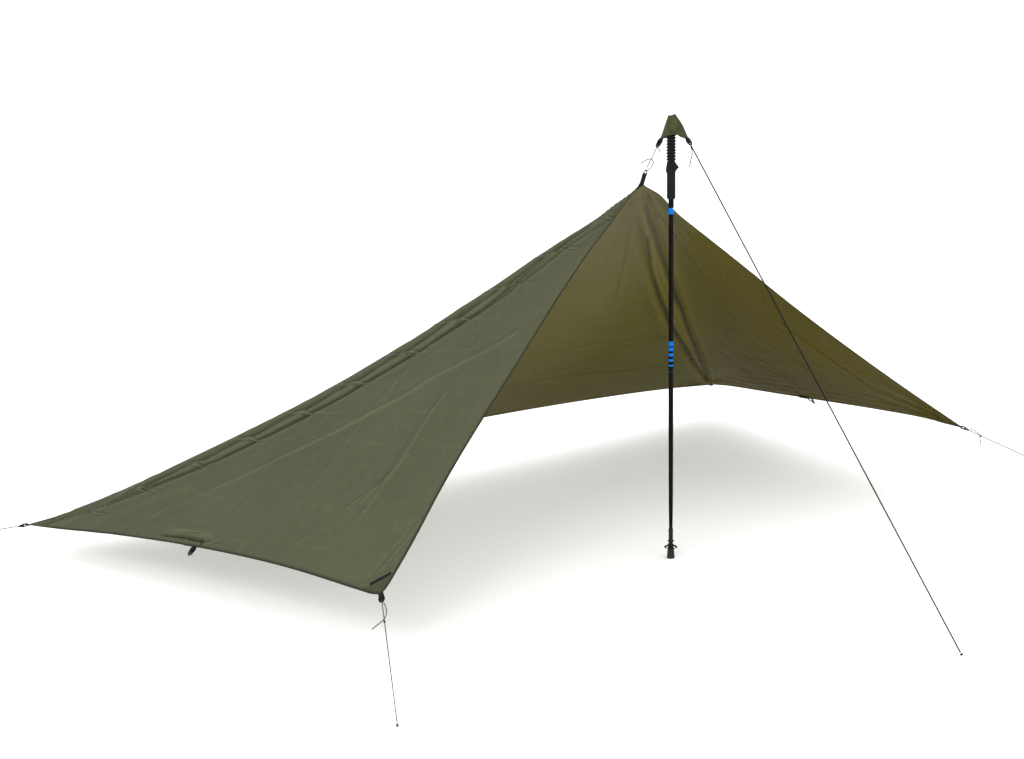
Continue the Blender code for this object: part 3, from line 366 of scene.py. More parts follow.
def cord_material(name, base, fleck):
    n = Nodes(name, base, 0.8, spec=0.18)
    u, v, _ = n.split(n.uv("flat"))
    a = n.math("SINE", n.math("ADD", n.math("MULTIPLY", u, 2 * math.pi / 0.0026), n.math("MULTIPLY", v, 4 * math.pi)))
    b = n.math("SINE", n.math("SUBTRACT", n.math("MULTIPLY", u, 2 * math.pi / 0.0026), n.math("MULTIPLY", v, 4 * math.pi)))
    h = n.math("MAXIMUM", a, b)
    n.colour(n.mix(n.ramp(n.math("MULTIPLY", a, b), -0.2, 0.9), base, fleck))
    n.rough(n.ramp(n.noise(300.0), 0.3, 0.7, 0.7, 0.9))
    n.normal(n.bump(h, 0.00025, 0.9))
    return n.m


def plain_material(name, base, rough, metal=0.0, spec=0.5, grain=220.0, depth=0.00012, spread=0.08, vary=0.18, stretch=None, coat=0.0):
    """Moulded, cast or painted: a grain in its bump, small changes of shade and gloss."""
    n = Nodes(name, base, rough, metal, spec)
    n.p.inputs["Coat Weight"].default_value = coat
    n.p.inputs["Coat Roughness"].default_value = 0.25
    grained = n.noise(grain, 4.0, 0.6, stretch=stretch)
    broad = n.noise(23.0, 3.0, 0.5)
    n.colour(n.mix(n.ramp(broad, 0.3, 0.7), tuple(c * (1 - vary) for c in base), tuple(min(c * (1 + vary), 1.0) for c in base)))
    n.rough(n.ramp(grained, 0.3, 0.7, rough - spread, rough + spread))
    n.normal(n.bump(grained, depth, 0.7))
    return n.m


BLACK = (0.0020, 0.0020, 0.0024)
BLUE = (0.0, 0.150, 0.600)
# blue rings round the upper shaft: (top, bottom)
STRIPES = ((0.6718, 0.6576), (0.6534, 0.6434), (0.6362, 0.6271), (0.6183, 0.6116), (0.6016, 0.5968))
BAND_SPLIT = 1.0674


def shaft_material(name, stripes, faint=()):
    """Satin black anodised tube, drawn lengthwise, with blue rings painted on at given heights."""
    n = Nodes(name, BLACK, 0.40, 0.0, 0.05)
    z = n.split(n.coords.outputs["Object"])[2]
    drawn = n.noise(260.0, 3.0, 0.6, stretch=(1, 1, 0.02))
    scuff = n.noise(70.0, 5.0, 0.7)
    colour = n.mix(n.ramp(scuff, 0.35, 0.75), BLACK, (0.0045, 0.0045, 0.0055))
    for group, paint, share in ((stripes, BLUE, 1.0), (faint, (0.001, 0.03, 0.13), 0.9)):
        for top, low in group:
            inside = n.math("MULTIPLY", n.math("GREATER_THAN", z, low), n.math("LESS_THAN", z, top))
            inside = n.math("MULTIPLY", inside, share)
            colour = n.mix(inside, colour, paint)
    n.colour(colour)
    n.rough(n.ramp(drawn, 0.25, 0.75, 0.26, 0.42))
    n.normal(n.bump(drawn, 0.00005, 0.6))
    return n.m


CLOTH_OUT = cloth_material("cloth_outside", (0.078, 0.0815, 0.0445), (0.068, 0.0715, 0.0390), 0.62)
CLOTH_IN = cloth_material("cloth_inside", (0.108, 0.0965, 0.0260), (0.096, 0.0855, 0.0225), 0.66, inside=True)
WEBBING = webbing_material("webbing_black", (0.008, 0.008, 0.008))
LABEL = webbing_material("label_black", (0.007, 0.007, 0.008))
GREY = cord_material("cord_grey", (0.034, 0.036, 0.028), (0.100, 0.102, 0.080))
DARK = cord_material("cord_black", (0.003, 0.003, 0.005), (0.010, 0.010, 0.015))
THREAD = cord_material("thread", (0.020, 0.021, 0.015), (0.030, 0.031, 0.020))
PLASTIC = plain_material("plastic_black", (0.007, 0.007, 0.008), 0.42, spec=0.22, grain=900.0, depth=0.00006)
FOAM = plain_material("foam_black", (0.009, 0.009, 0.010), 0.86, spec=0.14, grain=1500.0, depth=0.00025, spread=0.06)
RUBBER = plain_material("rubber_black", (0.014, 0.014, 0.014), 0.74, spec=0.35, grain=700.0, depth=0.00012)
STEEL = plain_material("steel_bright", (0.62, 0.62, 0.63), 0.26, 1.0, grain=500.0, depth=0.00003, vary=0.06)
ALLOY = plain_material("alloy_drawn", (0.56, 0.57, 0.59), 0.32, 1.0, grain=240.0, depth=0.00004, vary=0.06, stretch=(1, 1, 0.02))
RING = plain_material("ring_black", (0.014, 0.014, 0.015), 0.34, 0.45, grain=400.0, depth=0.00005)
BUTTON = plain_material("button_steel", (0.72, 0.72, 0.73), 0.3, 1.0, grain=800.0, depth=0.00002, vary=0.05)
TUBE = shaft_material("outer_tube_black", ())
SHAFT = shaft_material("shaft_black", STRIPES, ((0.5834, 0.5804),))
LOWER = shaft_material("lower_shaft_black", ())
BAND = shaft_material("band_blue", ((BAND_SPLIT, 1.0),))


# ================================================================ mesh helpers
def mesh_piece(name, verts, faces, mats, body, uv=None, face_mats=None, smooth=True, sharp=None):
    me = bpy.data.meshes.new(name)
    me.from_pydata([tuple(map(float, v)) for v in verts], [], [tuple(int(i) for i in f) for f in faces])
    for m in mats:
        me.materials.append(m)
    if uv is not None:
        layer = me.uv_layers.new(name="flat")
        flat = np.asarray(uv, np.float32).reshape(-1)
        layer.data.foreach_set("uv", flat)
    if face_mats is not None:
        me.polygons.foreach_set("material_index", np.asarray(face_mats, np.int32))
    me.validate()
    if smooth:
        me.shade_smooth()
        if sharp:
            me.set_sharp_from_angle(angle=math.radians(sharp))
    me.update()
    ob = bpy.data.objects.new(name, me)
    SCENE.collection.objects.link(ob)
    if body:
        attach(ob, body)
    return ob


def frames_along(pts, widths=None):
    """Tangent, width way and thickness way at each point. Without widths they are carried along."""
    pts = np.asarray(pts, float)
    tan = np.gradient(pts, axis=0)
    tan /= np.linalg.norm(tan, axis=1, keepdims=True)
    if widths is None:
        w = np.cross(tan[0], (0.0, 0.0, 1.0))
        if np.linalg.norm(w) < 0.1:
            w = np.cross(tan[0], (1.0, 0.0, 0.0))
        out = []
        for t in tan:
            w = w - t * (w @ t)
            w = w / np.linalg.norm(w)
            out.append(w)
        widths = np.array(out)
    else:
        widths = np.asarray(widths, float)
        widths = widths - tan * np.sum(widths * tan, axis=1, keepdims=True)
        widths /= np.linalg.norm(widths, axis=1, keepdims=True)
    return tan, widths, np.cross(tan, widths)


def sweep_arrays(pts, section, widths=None, cyclic=False):
    """Vertices, faces and face-corner UVs of a section carried along a path. section is (M, 2) or (N, M, 2)."""
    pts = np.asarray(pts, float)
    if cyclic:
        ext = np.vstack([pts[-1:], pts, pts[:1]])
        tan = (ext[2:] - ext[:-2])
        tan /= np.linalg.norm(tan, axis=1, keepdims=True)
        w = np.asarray(widths, float)
        w = w - tan * np.sum(w * tan, axis=1, keepdims=True)
        w /= np.linalg.norm(w, axis=1, keepdims=True)
        thick = np.cross(tan, w)
    else:
        tan, w, thick = frames_along(pts, widths)
    section = np.asarray(section, float)
    n = len(pts)
    if section.ndim == 2:
        section = np.repeat(section[None], n, axis=0)
    m = section.shape[1]
    verts = (pts[:, None] + w[:, None] * section[..., :1] + thick[:, None] * section[..., 1:]).reshape(-1, 3)
    run = np.concatenate([[0], np.cumsum(np.linalg.norm(np.diff(pts, axis=0), axis=1))])
    ring = np.arange(m + 1) / m
    faces, uv = [], []
    rows = n if cyclic else n - 1
    for i in range(rows):
        i2 = (i + 1) % n
        u0, u1 = run[i], run[i + 1] if i + 1 < n else run[i] + (run[1] - run[0])
        for j in range(m):
            j2 = (j + 1) % m
            faces.append((i * m + j, i2 * m + j, i2 * m + j2, i * m + j2))
            uv += [(u0, ring[j]), (u1, ring[j]), (u1, ring[j + 1]), (u0, ring[j + 1])]
    if not cyclic:
        faces.append(tuple(range(m)))
        uv += [(0.0, k / m) for k in range(m)]
        faces.append(tuple((n - 1) * m + k for k in reversed(range(m))))
        uv += [(run[-1], k / m) for k in range(m)]
    return verts, faces, uv


def join(parts):
    """Several (verts, faces, uv, material index) joined."""
    verts, faces, uv, mats = [], [], [], []
    for v, f, u, k in parts:
        base = len(verts)
        verts += [tuple(x) for x in v]
        faces += [tuple(i + base for i in face) for face in f]
        uv += list(u)
        mats += [k] * len(f)
    return verts, faces, uv, mats


def smooth_route(through, count):
    """count points on a smooth curve through the given ones (centripetal Catmull-Rom)."""
    pts = [Vector(p) for p in through]
    pts = [pts[0] * 2 - pts[1]] + pts + [pts[-1] * 2 - pts[-2]]
    fine = []
    for k in range(1, len(pts) - 2):
        p0, p1, p2, p3 = pts[k - 1:k + 3]
        t0 = 0.0
        t1 = t0 + math.sqrt((p1 - p0).length)
        t2 = t1 + math.sqrt((p2 - p1).length)
        t3 = t2 + math.sqrt((p3 - p2).length)
        for j in range(24):
            t = t1 + (t2 - t1) * j / 24
            a1 = p0 * ((t1 - t) / (t1 - t0)) + p1 * ((t - t0) / (t1 - t0))
            a2 = p1 * ((t2 - t) / (t2 - t1)) + p2 * ((t - t1) / (t2 - t1))
            a3 = p2 * ((t3 - t) / (t3 - t2)) + p3 * ((t - t2) / (t3 - t2))
            b1 = a1 * ((t2 - t) / (t2 - t0)) + a2 * ((t - t0) / (t2 - t0))
            b2 = a2 * ((t3 - t) / (t3 - t1)) + a3 * ((t - t1) / (t3 - t1))
            fine.append(b1 * ((t2 - t) / (t2 - t1)) + b2 * ((t - t1) / (t2 - t1)))
    fine.append(pts[-2])
    run = [0.0]
    for a, b in zip(fine, fine[1:]):
        run.append(run[-1] + (b - a).length)
    out, k = [], 0
    for i in range(count):
        s = run[-1] * i / (count - 1)
        while k < len(run) - 2 and run[k + 1] < s:
            k += 1
        f = (s - run[k]) / max(run[k + 1] - run[k], 1e-12)
        out.append(fine[k].lerp(fine[k + 1], min(max(f, 0.0), 1.0)))
    return out


def length_of(pts):
    return sum((Vector(b) - Vector(a)).length for a, b in zip(pts, pts[1:]))


# ================================================================ the sheet's shape
def bow(t, q):
    xs, ys = (0.0, *BOW_AT, 1.0), (0.0, *q, 0.0)
    secant = [(ys[k + 1] - ys[k]) / (xs[k + 1] - xs[k]) for k in range(len(xs) - 1)]
    slope = [secant[0] * 1.25] + [
        (secant[k - 1] * (xs[k + 1] - xs[k]) + secant[k] * (xs[k] - xs[k - 1])) / (xs[k + 1] - xs[k - 1])
        for k in range(1, len(xs) - 1)] + [secant[-1] * 1.25]
    k = max(i for i in range(len(xs) - 1) if xs[i] <= t or i == 0)
    h = xs[k + 1] - xs[k]
    u = (t - xs[k]) / h
    return ((2 * u ** 3 - 3 * u ** 2 + 1) * ys[k] + (u ** 3 - 2 * u ** 2 + u) * h * slope[k]
            + (3 * u ** 2 - 2 * u ** 3) * ys[k + 1] + (u ** 3 - u ** 2) * h * slope[k + 1])


def edge_point(a, b, inside, t, q):
    d = (b - a).normalized()
    m = inside - a
    m = (m - d * m.dot(d)).normalized()
    return a.lerp(b, t) + m * bow(t, q)


def outward(a, b, c, away):
    n = (b - a).cross(c - a).normalized()
    return n if n.dot(a - away) > 0 else -n


UNDER = Vector((0.0, 0.5, 0.2))
N_LEFT = outward(APEX, REAR_LEFT, FRONT_LEFT, UNDER)
N_RIGHT = outward(APEX, REAR_RIGHT, FRONT_RIGHT, UNDER)
N_REAR = outward(APEX, REAR_LEFT, REAR_RIGHT, UNDER)
IN_L = -(N_LEFT + N_REAR).normalized()
IN_R = -(N_RIGHT + N_REAR).normalized()


def solve_net(n, start, rounds):
    """The hung sheet over its flat net of n cells: edges and ridges are set, the rest is a taut film."""
    net = np.zeros((2 * n + 1, n + 1, 3))
    held = np.zeros((2 * n + 1, n + 1), bool)

    def hold(i, j, p):
        net[i + n, j] = p
        held[i + n, j] = True

    for k in range(n + 1):
        t = k / n
        hold(-k, 0, edge_point(APEX, FRONT_LEFT, REAR_LEFT, t, BOW_FRONT_L))
        hold(k, 0, edge_point(APEX, FRONT_RIGHT, REAR_RIGHT, t, BOW_FRONT_R))
        hold(-n, k, edge_point(REAR_LEFT, FRONT_LEFT, APEX, 1 - t, BOW_SIDE_L))
        hold(n, k, edge_point(REAR_RIGHT, FRONT_RIGHT, APEX, 1 - t, BOW_SIDE_R))
        hold(-k, k, APEX.lerp(REAR_LEFT, t) + IN_L * bow(t, SAG_RIDGE_L))
        hold(k, k, APEX.lerp(REAR_RIGHT, t) + IN_R * bow(t, SAG_RIDGE_R))
    for i in range(-n, n + 1):
        hold(i, n, edge_point(REAR_LEFT, REAR_RIGHT, APEX, (i + n) / (2 * n), BOW_REAR))
    if start is None:
        for i in range(-n, n + 1):
            for j in range(n + 1):
                if not held[i + n, j]:
                    net[i + n, j] = APEX.lerp(Vector(net[i + n, n]), j / n)
    else:
        fine = np.zeros_like(net)
        fine[::2, ::2] = start
        fine[1::2, ::2] = (start[:-1] + start[1:]) / 2
        fine[:, 1::2] = (fine[:, :-1:2] + fine[:, 2::2]) / 2
        net[~held] = fine[~held]
    free = ~held
    for _ in range(rounds):
        mean = net.copy()
        mean[1:-1, 1:-1] = (net[:-2, 1:-1] + net[2:, 1:-1] + net[1:-1, :-2] + net[1:-1, 2:]) / 4
        net[free] = mean[free]
    return net


NET = solve_net(CELLS, None, 1500)


def cad_point(s, t):
    """The hung place of a flat point on the CAD model's net."""
    n, h = CELLS, HALF_WIDTH / CELLS
    side = -1 if s < 0 else 1
    a, b = abs(s) / h, t / h
    ia, ib = min(int(a + 1e-9), n - 1), min(int(b + 1e-9), n - 1)
    fa, fb = a - ia, b - ib
    at = lambda x, y: Vector(NET[side * x + n, y])
    if fa >= fb:
        return at(ia, ib) * (1 - fa) + at(ia + 1, ib) * (fa - fb) + at(ia + 1, ib + 1) * fb
    return at(ia, ib) * (1 - fb) + at(ia, ib + 1) * (fb - fa) + at(ia + 1, ib + 1) * fa


FINE = 96
CELL = HALF_WIDTH / FINE


def soften(net, n, passes, width):
    """Rounds the two ridges, then puts the ridge lines back where they were."""
    i = np.arange(-n, n + 1)[:, None] * np.ones(n + 1)[None]
    j = np.ones(2 * n + 1)[:, None] * np.arange(n + 1)[None]
    off = np.abs(np.abs(i) - j) * CELL / math.sqrt(2)
    before = net.copy()
    away = np.sqrt(i ** 2 + j ** 2) * CELL
    share = np.exp(-(off / width) ** 2) * np.clip(away / 0.25, 0.15, 1)
    inner = np.zeros(net.shape[:2], bool)
    inner[1:-1, 1:-1] = True
    for _ in range(passes):
        mean = net.copy()
        mean[1:-1, 1:-1] = (net[:-2, 1:-1] + net[2:, 1:-1] + net[1:-1, :-2] + net[1:-1, 2:]) / 4
        net = net + (mean - net) * (share * inner)[..., None]
    for side in (-1, 1):
        lift = np.array([before[side * k + n, k] - net[side * k + n, k] for k in range(n + 1)])
        mask = (i * side >= 0)
        mid = (np.abs(i) + j) / 2
        k0 = np.clip(np.floor(mid).astype(int), 0, n - 1)
        f = (mid - k0)[..., None]
        add = lift[k0] * (1 - f) + lift[k0 + 1] * f
        rim = np.clip(np.minimum(n - j, n - np.abs(i)) / 4.0, 0, 1) * np.clip(j / 4.0, 0, 1)
        net = net + add * (np.exp(-(off / 0.13) ** 2) * mask * rim)[..., None]
    return net


def fine_sheet():
    net = NET
    for n in (24, 48, 96):
        net = solve_net(n, net, 260)
    return soften(net, FINE, 26, 0.055)


def unit(a):
    return a / np.maximum(np.linalg.norm(a, axis=-1, keepdims=True), 1e-12)


def grid_normals(p):
    n = np.cross(np.gradient(p, axis=0), np.gradient(p, axis=1))
    n = unit(n)
    if n[..., 2].mean() < 0:
        n = -n
    return n


def bump_at(x, centre, width):
    return np.exp(-((x - centre) / width) ** 2)


def crease_field(S, T):
    """How far the cloth stands out of the taut film: the roll under the left ridge, tension folds, gathers and packing creases."""
    A = np.abs(S)
    left, right = (S < 0).astype(float), (S >= 0).astype(float)
    d = np.zeros_like(S)
    side = HALF_WIDTH - A
    edge = np.minimum(np.minimum(side, T), DEPTH - T)
    on_edge = np.clip(edge / 0.02, 0, 1)
    # folds that fan out of the corners, the loops and the apex
    for cs, ct, reach, high, count, phase in (
        (-1.5, 0.0, 0.22, 0.0008, 4, 0.4), (1.5, 0.0, 0.26, 0.0046, 5, 1.1), (-1.5, 1.5, 0.30, 0.0036, 5, 2.0), (1.5, 1.5, 0.26, 0.0034, 6, 0.2),
        (0.0, 0.0, 0.30, 0.0030, 8, 0.9), (1.5, 0.805, 0.12, 0.0020, 4, 1.7), (0.0, 1.5, 0.15, 0.0022, 4, 0.9)):
        x, y = S - cs, T - ct
        r = np.hypot(x, y)
        ang = np.arctan2(y, x)
        d += high * np.sin(ang * count * 2 + phase + 1.3 * np.sin(ang * 3)) * np.clip(r / 0.06, 0, 1) ** 1.5 * np.exp(-(r / reach) ** 2)
    off = (A - T) / math.sqrt(2)            # distance from the ridge in the flat sheet, + on the wing
    mid = (A + T) / 2
    span = np.clip(mid / 0.20, 0, 1) * np.clip((1.47 - mid) / 0.15, 0, 1)
    # the roll: a rim, a trough that starts deep at every packing crease, a lip and a crease below it
    o = off / (np.interp(mid, (0.0, 0.35, 1.05, 1.5), (0.55, 1.0, 1.0, 0.55)))
    saw = np.mod((A - 0.020) / 0.125, 1.0)
    deep = 0.45 + 0.85 * np.where(saw > 0.93, (1 - saw) / 0.07, (saw / 0.93) ** 1.6)
    d += left * span * (0.0020 * bump_at(o, 0.018, 0.014) - 0.0105 * deep * bump_at(o, 0.060, 0.021) + 0.0040 * bump_at(o, 0.089, 0.010)
                        - 0.0070 * bump_at(o, 0.112, 0.011) + 0.0018 * bump_at(o, 0.140, 0.016))
    d -= left * 0.022 * bump_at(mid, 1.360, 0.095) * bump_at(off, 0.005, 0.050) * np.clip((1.49 - mid) / 0.04, 0, 1)      # the ridge dips before the corner
    d -= left * 0.014 * bump_at(mid, 1.440, 0.034) * bump_at(off, 0.002, 0.035) * np.clip((1.49 - mid) / 0.03, 0, 1)
    near = 0.5 - np.abs(saw - 0.5)          # 0 at a packing crease
    tick = bump_at(near * 0.125, 0.0, 0.0065)
    d += left * span * (0.0045 * tick * bump_at(o, 0.070, 0.045))
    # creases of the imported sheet, both ways
    fade = 0.45 + 0.55 * np.sin(T * 8.3 + np.floor((A - 0.020) / 0.125 + 0.5) * 2.1) ** 2
    d += 0.0012 * tick * fade * on_edge * np.clip(np.abs(off) / 0.12, 0, 1)
    for c, lo, hi, high in ((0.215, 0.80, 1.30, 0.0028), (0.26, 0.3, 0.75, 0.0012), (0.475, 0.5, 1.45, 0.0014), (0.72, 0.7, 1.4, 0.0012), (0.98, 0.0, 1.5, 0.0012), (1.24, 0.0, 1.5, 0.0012)):
        line = c + 0.05 * (A - 1.0) + 0.012 * np.sin(A * 9.0)
        gate = 1 / (1 + np.exp(-(A - lo) / 0.03)) / (1 + np.exp((A - hi) / 0.03))
        d += high * (bump_at(T, line, 0.010) - 0.8 * bump_at(T, line + 0.020, 0.012)) * gate * on_edge
    # tension lines across the left wing, from the apex down to the side edge
    fan = np.arctan2(T + 0.02, A)
    far = np.clip((A - 0.25) / 0.5, 0, 1)
    d += left * far * (0.0030 * bump_at(off, 0.300 - 0.06 * (mid - 0.8), 0.020) - 0.0026 * bump_at(off, 0.245, 0.026) + 0.0022 * bump_at(off, 0.190, 0.018)) * span
    d += left * 0.0016 * np.sin(fan * 38 + 0.8 + 1.5 * np.sin(A * 5)) * far * bump_at(A, 1.0, 0.5) * np.clip(off / 0.2, 0, 1)
    d += left * 0.0024 * bump_at(T, 0.012 + 0.30 * np.clip(A - 1.25, 0, 1), 0.012) * bump_at(A, 1.36, 0.10)
    # the right ridge seen from below: a sharp valley, and a second one beside it that runs into the corner
    d += right * span * (0.0085 * bump_at(off, 0.0, 0.011) - 0.0035 * bump_at(off, 0.030, 0.014) - 0.0050 * bump_at(off, -0.030, 0.014))
    second = np.interp(mid, (0.0, 0.45, 0.85, 1.25, 1.45), (-0.030, -0.064, -0.066, -0.042, -0.018))
    d += right * np.clip(mid / 0.30, 0, 1) * np.clip((1.49 - mid) / 0.08, 0, 1) * (0.0095 * bump_at(off, second, 0.010) - 0.0045 * bump_at(off, second - 0.030, 0.016))
    third = second - 0.075 * np.clip(mid, 0, 1)
    d += right * np.clip(mid / 0.30, 0, 1) * np.clip((1.4 - mid) / 0.4, 0, 1) * (0.0030 * bump_at(off, third, 0.020))
    # ripples along the right side edge and under the right front edge
    d += right * 0.0015 * np.sin(side * 2 * math.pi / 0.045 + 1.5 * np.sin(T * 6)) * np.exp(-(side / 0.13) ** 2) * np.clip(T / 0.2, 0, 1)
    d += right * 0.0011 * np.sin((S * 0.75 - T * 1.0) * 2 * math.pi / 0.052 + 1.2 * np.sin(S * 9)) * np.exp(-((T - 0.10) / 0.12) ** 2) * bump_at(A, 0.48, 0.30)
    # pucker over the left side's loop: a groove along the hem with a lip above it, gathered at the loop
    along = 1 / (1 + np.exp(-(T - 0.700) / 0.006)) / (1 + np.exp((T - 0.880) / 0.020))
    d += left * along * (-0.0085 * bump_at(side, 0.031, 0.010) + 0.0060 * bump_at(side, 0.054, 0.014))
    d += left * 0.0040 * bump_at(side, 0.022, 0.012) * bump_at(T, 0.700, 0.020)
    d += left * 0.0030 * bump_at(side, 0.040 + 0.12 * np.clip(0.70 - T, 0, 1), 0.009) * bump_at(T, 0.62, 0.060)
    # right side's loop pulls the hem out a little
    d += right * 0.0030 * bump_at(side, 0.030, 0.014) * bump_at(T, 0.805, 0.050)
    # slow irregularity
    d += 0.0014 * (np.sin(S * 11.0 + 2.0 * np.sin(T * 7.0)) * np.sin(T * 13.0 + 1.4)) * on_edge
    d += 0.0006 * np.sin(S * 41.0 + 3.0 * np.sin(T * 17.0)) * np.sin(T * 37.0 + 2.0 * np.sin(S * 19.0)) * on_edge
    return d * np.clip(edge / 0.012, 0.25, 1)


def blunt_corners(p, S, T):
    """The hems curve round at a corner and the sewn apex stands up, so that neither is a sharp point."""
    b_out = []
    for key, cs, amp_side, amp_front, tip in (("fl", -1.5, 0.0095, 0.0085, 0.0), ("fr", 1.5, 0.0080, 0.0030, 0.006)):
        corner, rear = (FRONT_LEFT, REAR_LEFT) if cs < 0 else (FRONT_RIGHT, REAR_RIGHT)
        e1, e2 = np.array((rear - corner).normalized()), np.array((APEX - corner).normalized())
        n_side = -unit(e2 - e1 * (e1 @ e2))
        n_front = -unit(e1 - e2 * (e1 @ e2))
        a, b = T, np.abs(S - cs)
        grow = lambda x: (0.30 + 0.70 * (1 - np.exp(-(x / 0.020) ** 2))) * np.exp(-(x / 0.20) ** 1.5)
        keep = lambda x: np.exp(-(x / 0.07) ** 2)
        p = p + n_side * (amp_side * grow(a) * keep(b))[..., None] + n_front * (amp_front * grow(b) * keep(a))[..., None]
        p = p - unit(e1 + e2) * (tip * np.exp(-((a + b) / 0.05) ** 2))[..., None]
    r = np.hypot(S, T)
    to_right = 1 / (1 + np.exp(-(S + 0.005) / 0.012))
    lift = 0.007 * np.exp(-(r / 0.05) ** 2) + 0.016 * bump_at(r, 0.080, 0.050) * to_right - 0.006 * bump_at(r, 0.17, 0.07) * (1 - to_right)
    return p + np.array((0.0, 0.0, 1.0)) * lift[..., None]


def cubic_rows(grid, f):
    """Catmull-Rom reading along the first axis at fractional indices, run straight on past the ends."""
    g = np.concatenate([2 * grid[:1] - grid[1:2], grid, 2 * grid[-1:] - grid[-2:-1]], axis=0)
    i = np.clip(np.floor(f).astype(int), 0, grid.shape[0] - 2)
    u = (f - i)[:, None, None]
    a, b, c, e = g[i], g[i + 1], g[i + 2], g[i + 3]
    return 0.5 * (2 * b + (c - a) * u + (2 * a - 5 * b + 4 * c - e) * u ** 2 + (3 * b - a - 3 * c + e) * u ** 3)


BASE, BASE_CELLS = fine_sheet(), FINE
FINE = 144
CELL = HALF_WIDTH / FINE
SHEET = cubic_rows(BASE, np.arange(2 * FINE + 1) * BASE_CELLS / FINE)
SHEET = cubic_rows(SHEET.transpose(1, 0, 2), np.arange(FINE + 1) * BASE_CELLS / FINE).transpose(1, 0, 2)
GRID_S = (np.arange(-FINE, FINE + 1) * CELL)[:, None] * np.ones(FINE + 1)[None]
GRID_T = np.ones(2 * FINE + 1)[:, None] * (np.arange(FINE + 1) * CELL)[None]
SHEET = blunt_corners(SHEET, GRID_S, GRID_T)
RELIEF = crease_field(GRID_S, GRID_T)
SHEET = SHEET + grid_normals(SHEET) * RELIEF[..., None]


def crease_tone(d):
    """0.5 on smooth cloth, towards 1 in a groove and 0 on a lip, from how sharply the relief bends; the cloth's colour
    uses it as painted shade in grooves and painted highlight on lips.
    """
    lap = np.zeros_like(d)
    lap[1:-1, 1:-1] = (d[:-2, 1:-1] + d[2:, 1:-1] + d[1:-1, :-2] + d[1:-1, 2:]) / 4 - d[1:-1, 1:-1]
    return np.clip(0.5 + lap / 0.0030, 0, 1)


TONE = crease_tone(RELIEF)


def lines_with_hem(lo, hi, both=True):
    """Grid positions in cells, with extra lines for the hem's edge and its step."""
    extra = tuple(m / CELL for m in (0.0008, 0.0095))
    out = [lo] + [lo + e for e in extra] + list(range(lo + 1, hi)) + [hi - e for e in reversed(extra)] + [hi]
    return np.array(out, float)


def sample(grid, fi, fj):
    """Bilinear reading of a grid at fractional indices."""
    i0 = np.clip(np.floor(fi).astype(int), 0, grid.shape[0] - 2)
    j0 = np.clip(np.floor(fj).astype(int), 0, grid.shape[1] - 2)
    a, b = (fi - i0)[..., None], (fj - j0)[..., None]
    return (grid[i0, j0] * (1 - a) * (1 - b) + grid[i0 + 1, j0] * a * (1 - b) + grid[i0, j0 + 1] * (1 - a) * b + grid[i0 + 1, j0 + 1] * a * b)


SHEET_N = grid_normals(SHEET)


def surf(s, t):
    """The cloth's middle surface and its outward normal at flat points."""
    s, t = np.asarray(s, float), np.asarray(t, float)
    fi, fj = np.clip(s / CELL + FINE, 0, 2 * FINE), np.clip(t / CELL, 0, FINE)
    return sample(SHEET, fi, fj), unit(sample(SHEET_N, fi, fj))


# ================================================================ cords
def cord_piece(name, pts, diameter, material, node):
    """A braided cord along the route: a tube whose section turns with its strands."""
    pts = np.array([tuple(p) for p in pts])
    run = np.concatenate([[0], np.cumsum(np.linalg.norm(np.diff(pts, axis=0), axis=1))])
    count = max(int(run[-1] / 0.0013), 12)
    at = np.linspace(0, run[-1], count)
    path = np.stack([np.interp(at, run, pts[:, k]) for k in range(3)], axis=1)
    m = 12
    ang = 2 * np.pi * np.arange(m) / m
    turn = 2 * np.pi * at / 0.0095
    strands = np.maximum(np.cos(3 * ang[None] + turn[:, None]), np.cos(3 * ang[None] - turn[:, None]))
    r = diameter / 2 * (1.0 + 0.08 * strands)
    r *= np.clip(np.minimum(at, run[-1] - at) / (diameter * 0.25), 0.45, 1)[:, None]
    section = np.stack([r * np.cos(ang)[None], r * np.sin(ang)[None]], axis=2)
    v, f, u = sweep_arrays(path, section)
    ob = mesh_piece(name, v, f, [material], "canopy", u)
    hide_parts(node)
    return ob, path


def knot_piece(name, centre, r, tube_r, material, node, axis=None):
    """An overhand knot pulled tight: a closed trefoil of cord."""
    k = 72
    t = 2 * np.pi * np.arange(k) / k
    p = np.stack([np.sin(t) + 2 * np.sin(2 * t), np.cos(t) - 2 * np.cos(2 * t), -1.5 * np.sin(3 * t)], axis=1)
    p *= (r - tube_r) / 3.0
    radial = unit(np.stack([p[:, 0], p[:, 1], 0 * p[:, 0]], axis=1))
    m = Matrix.Identity(3)
    if axis is not None:
        z = Vector(axis).normalized()
        x = z.orthogonal().normalized()
        m = Matrix((x, z.cross(x), z)).transposed()
    mm = np.array(m)
    p = p @ mm.T + np.array(centre)
    radial = radial @ mm.T
    a = 2 * np.pi * np.arange(8) / 8
    v, f, u = sweep_arrays(p, np.stack([tube_r * np.cos(a), tube_r * np.sin(a)], axis=1), widths=radial, cyclic=True)
    ob = mesh_piece(name, v, f, [material], "canopy", u)
    if node:
        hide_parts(node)
    return ob


def straight(a, b, count):
    return [a.lerp(b, k / (count - 1)) for k in range(count)]


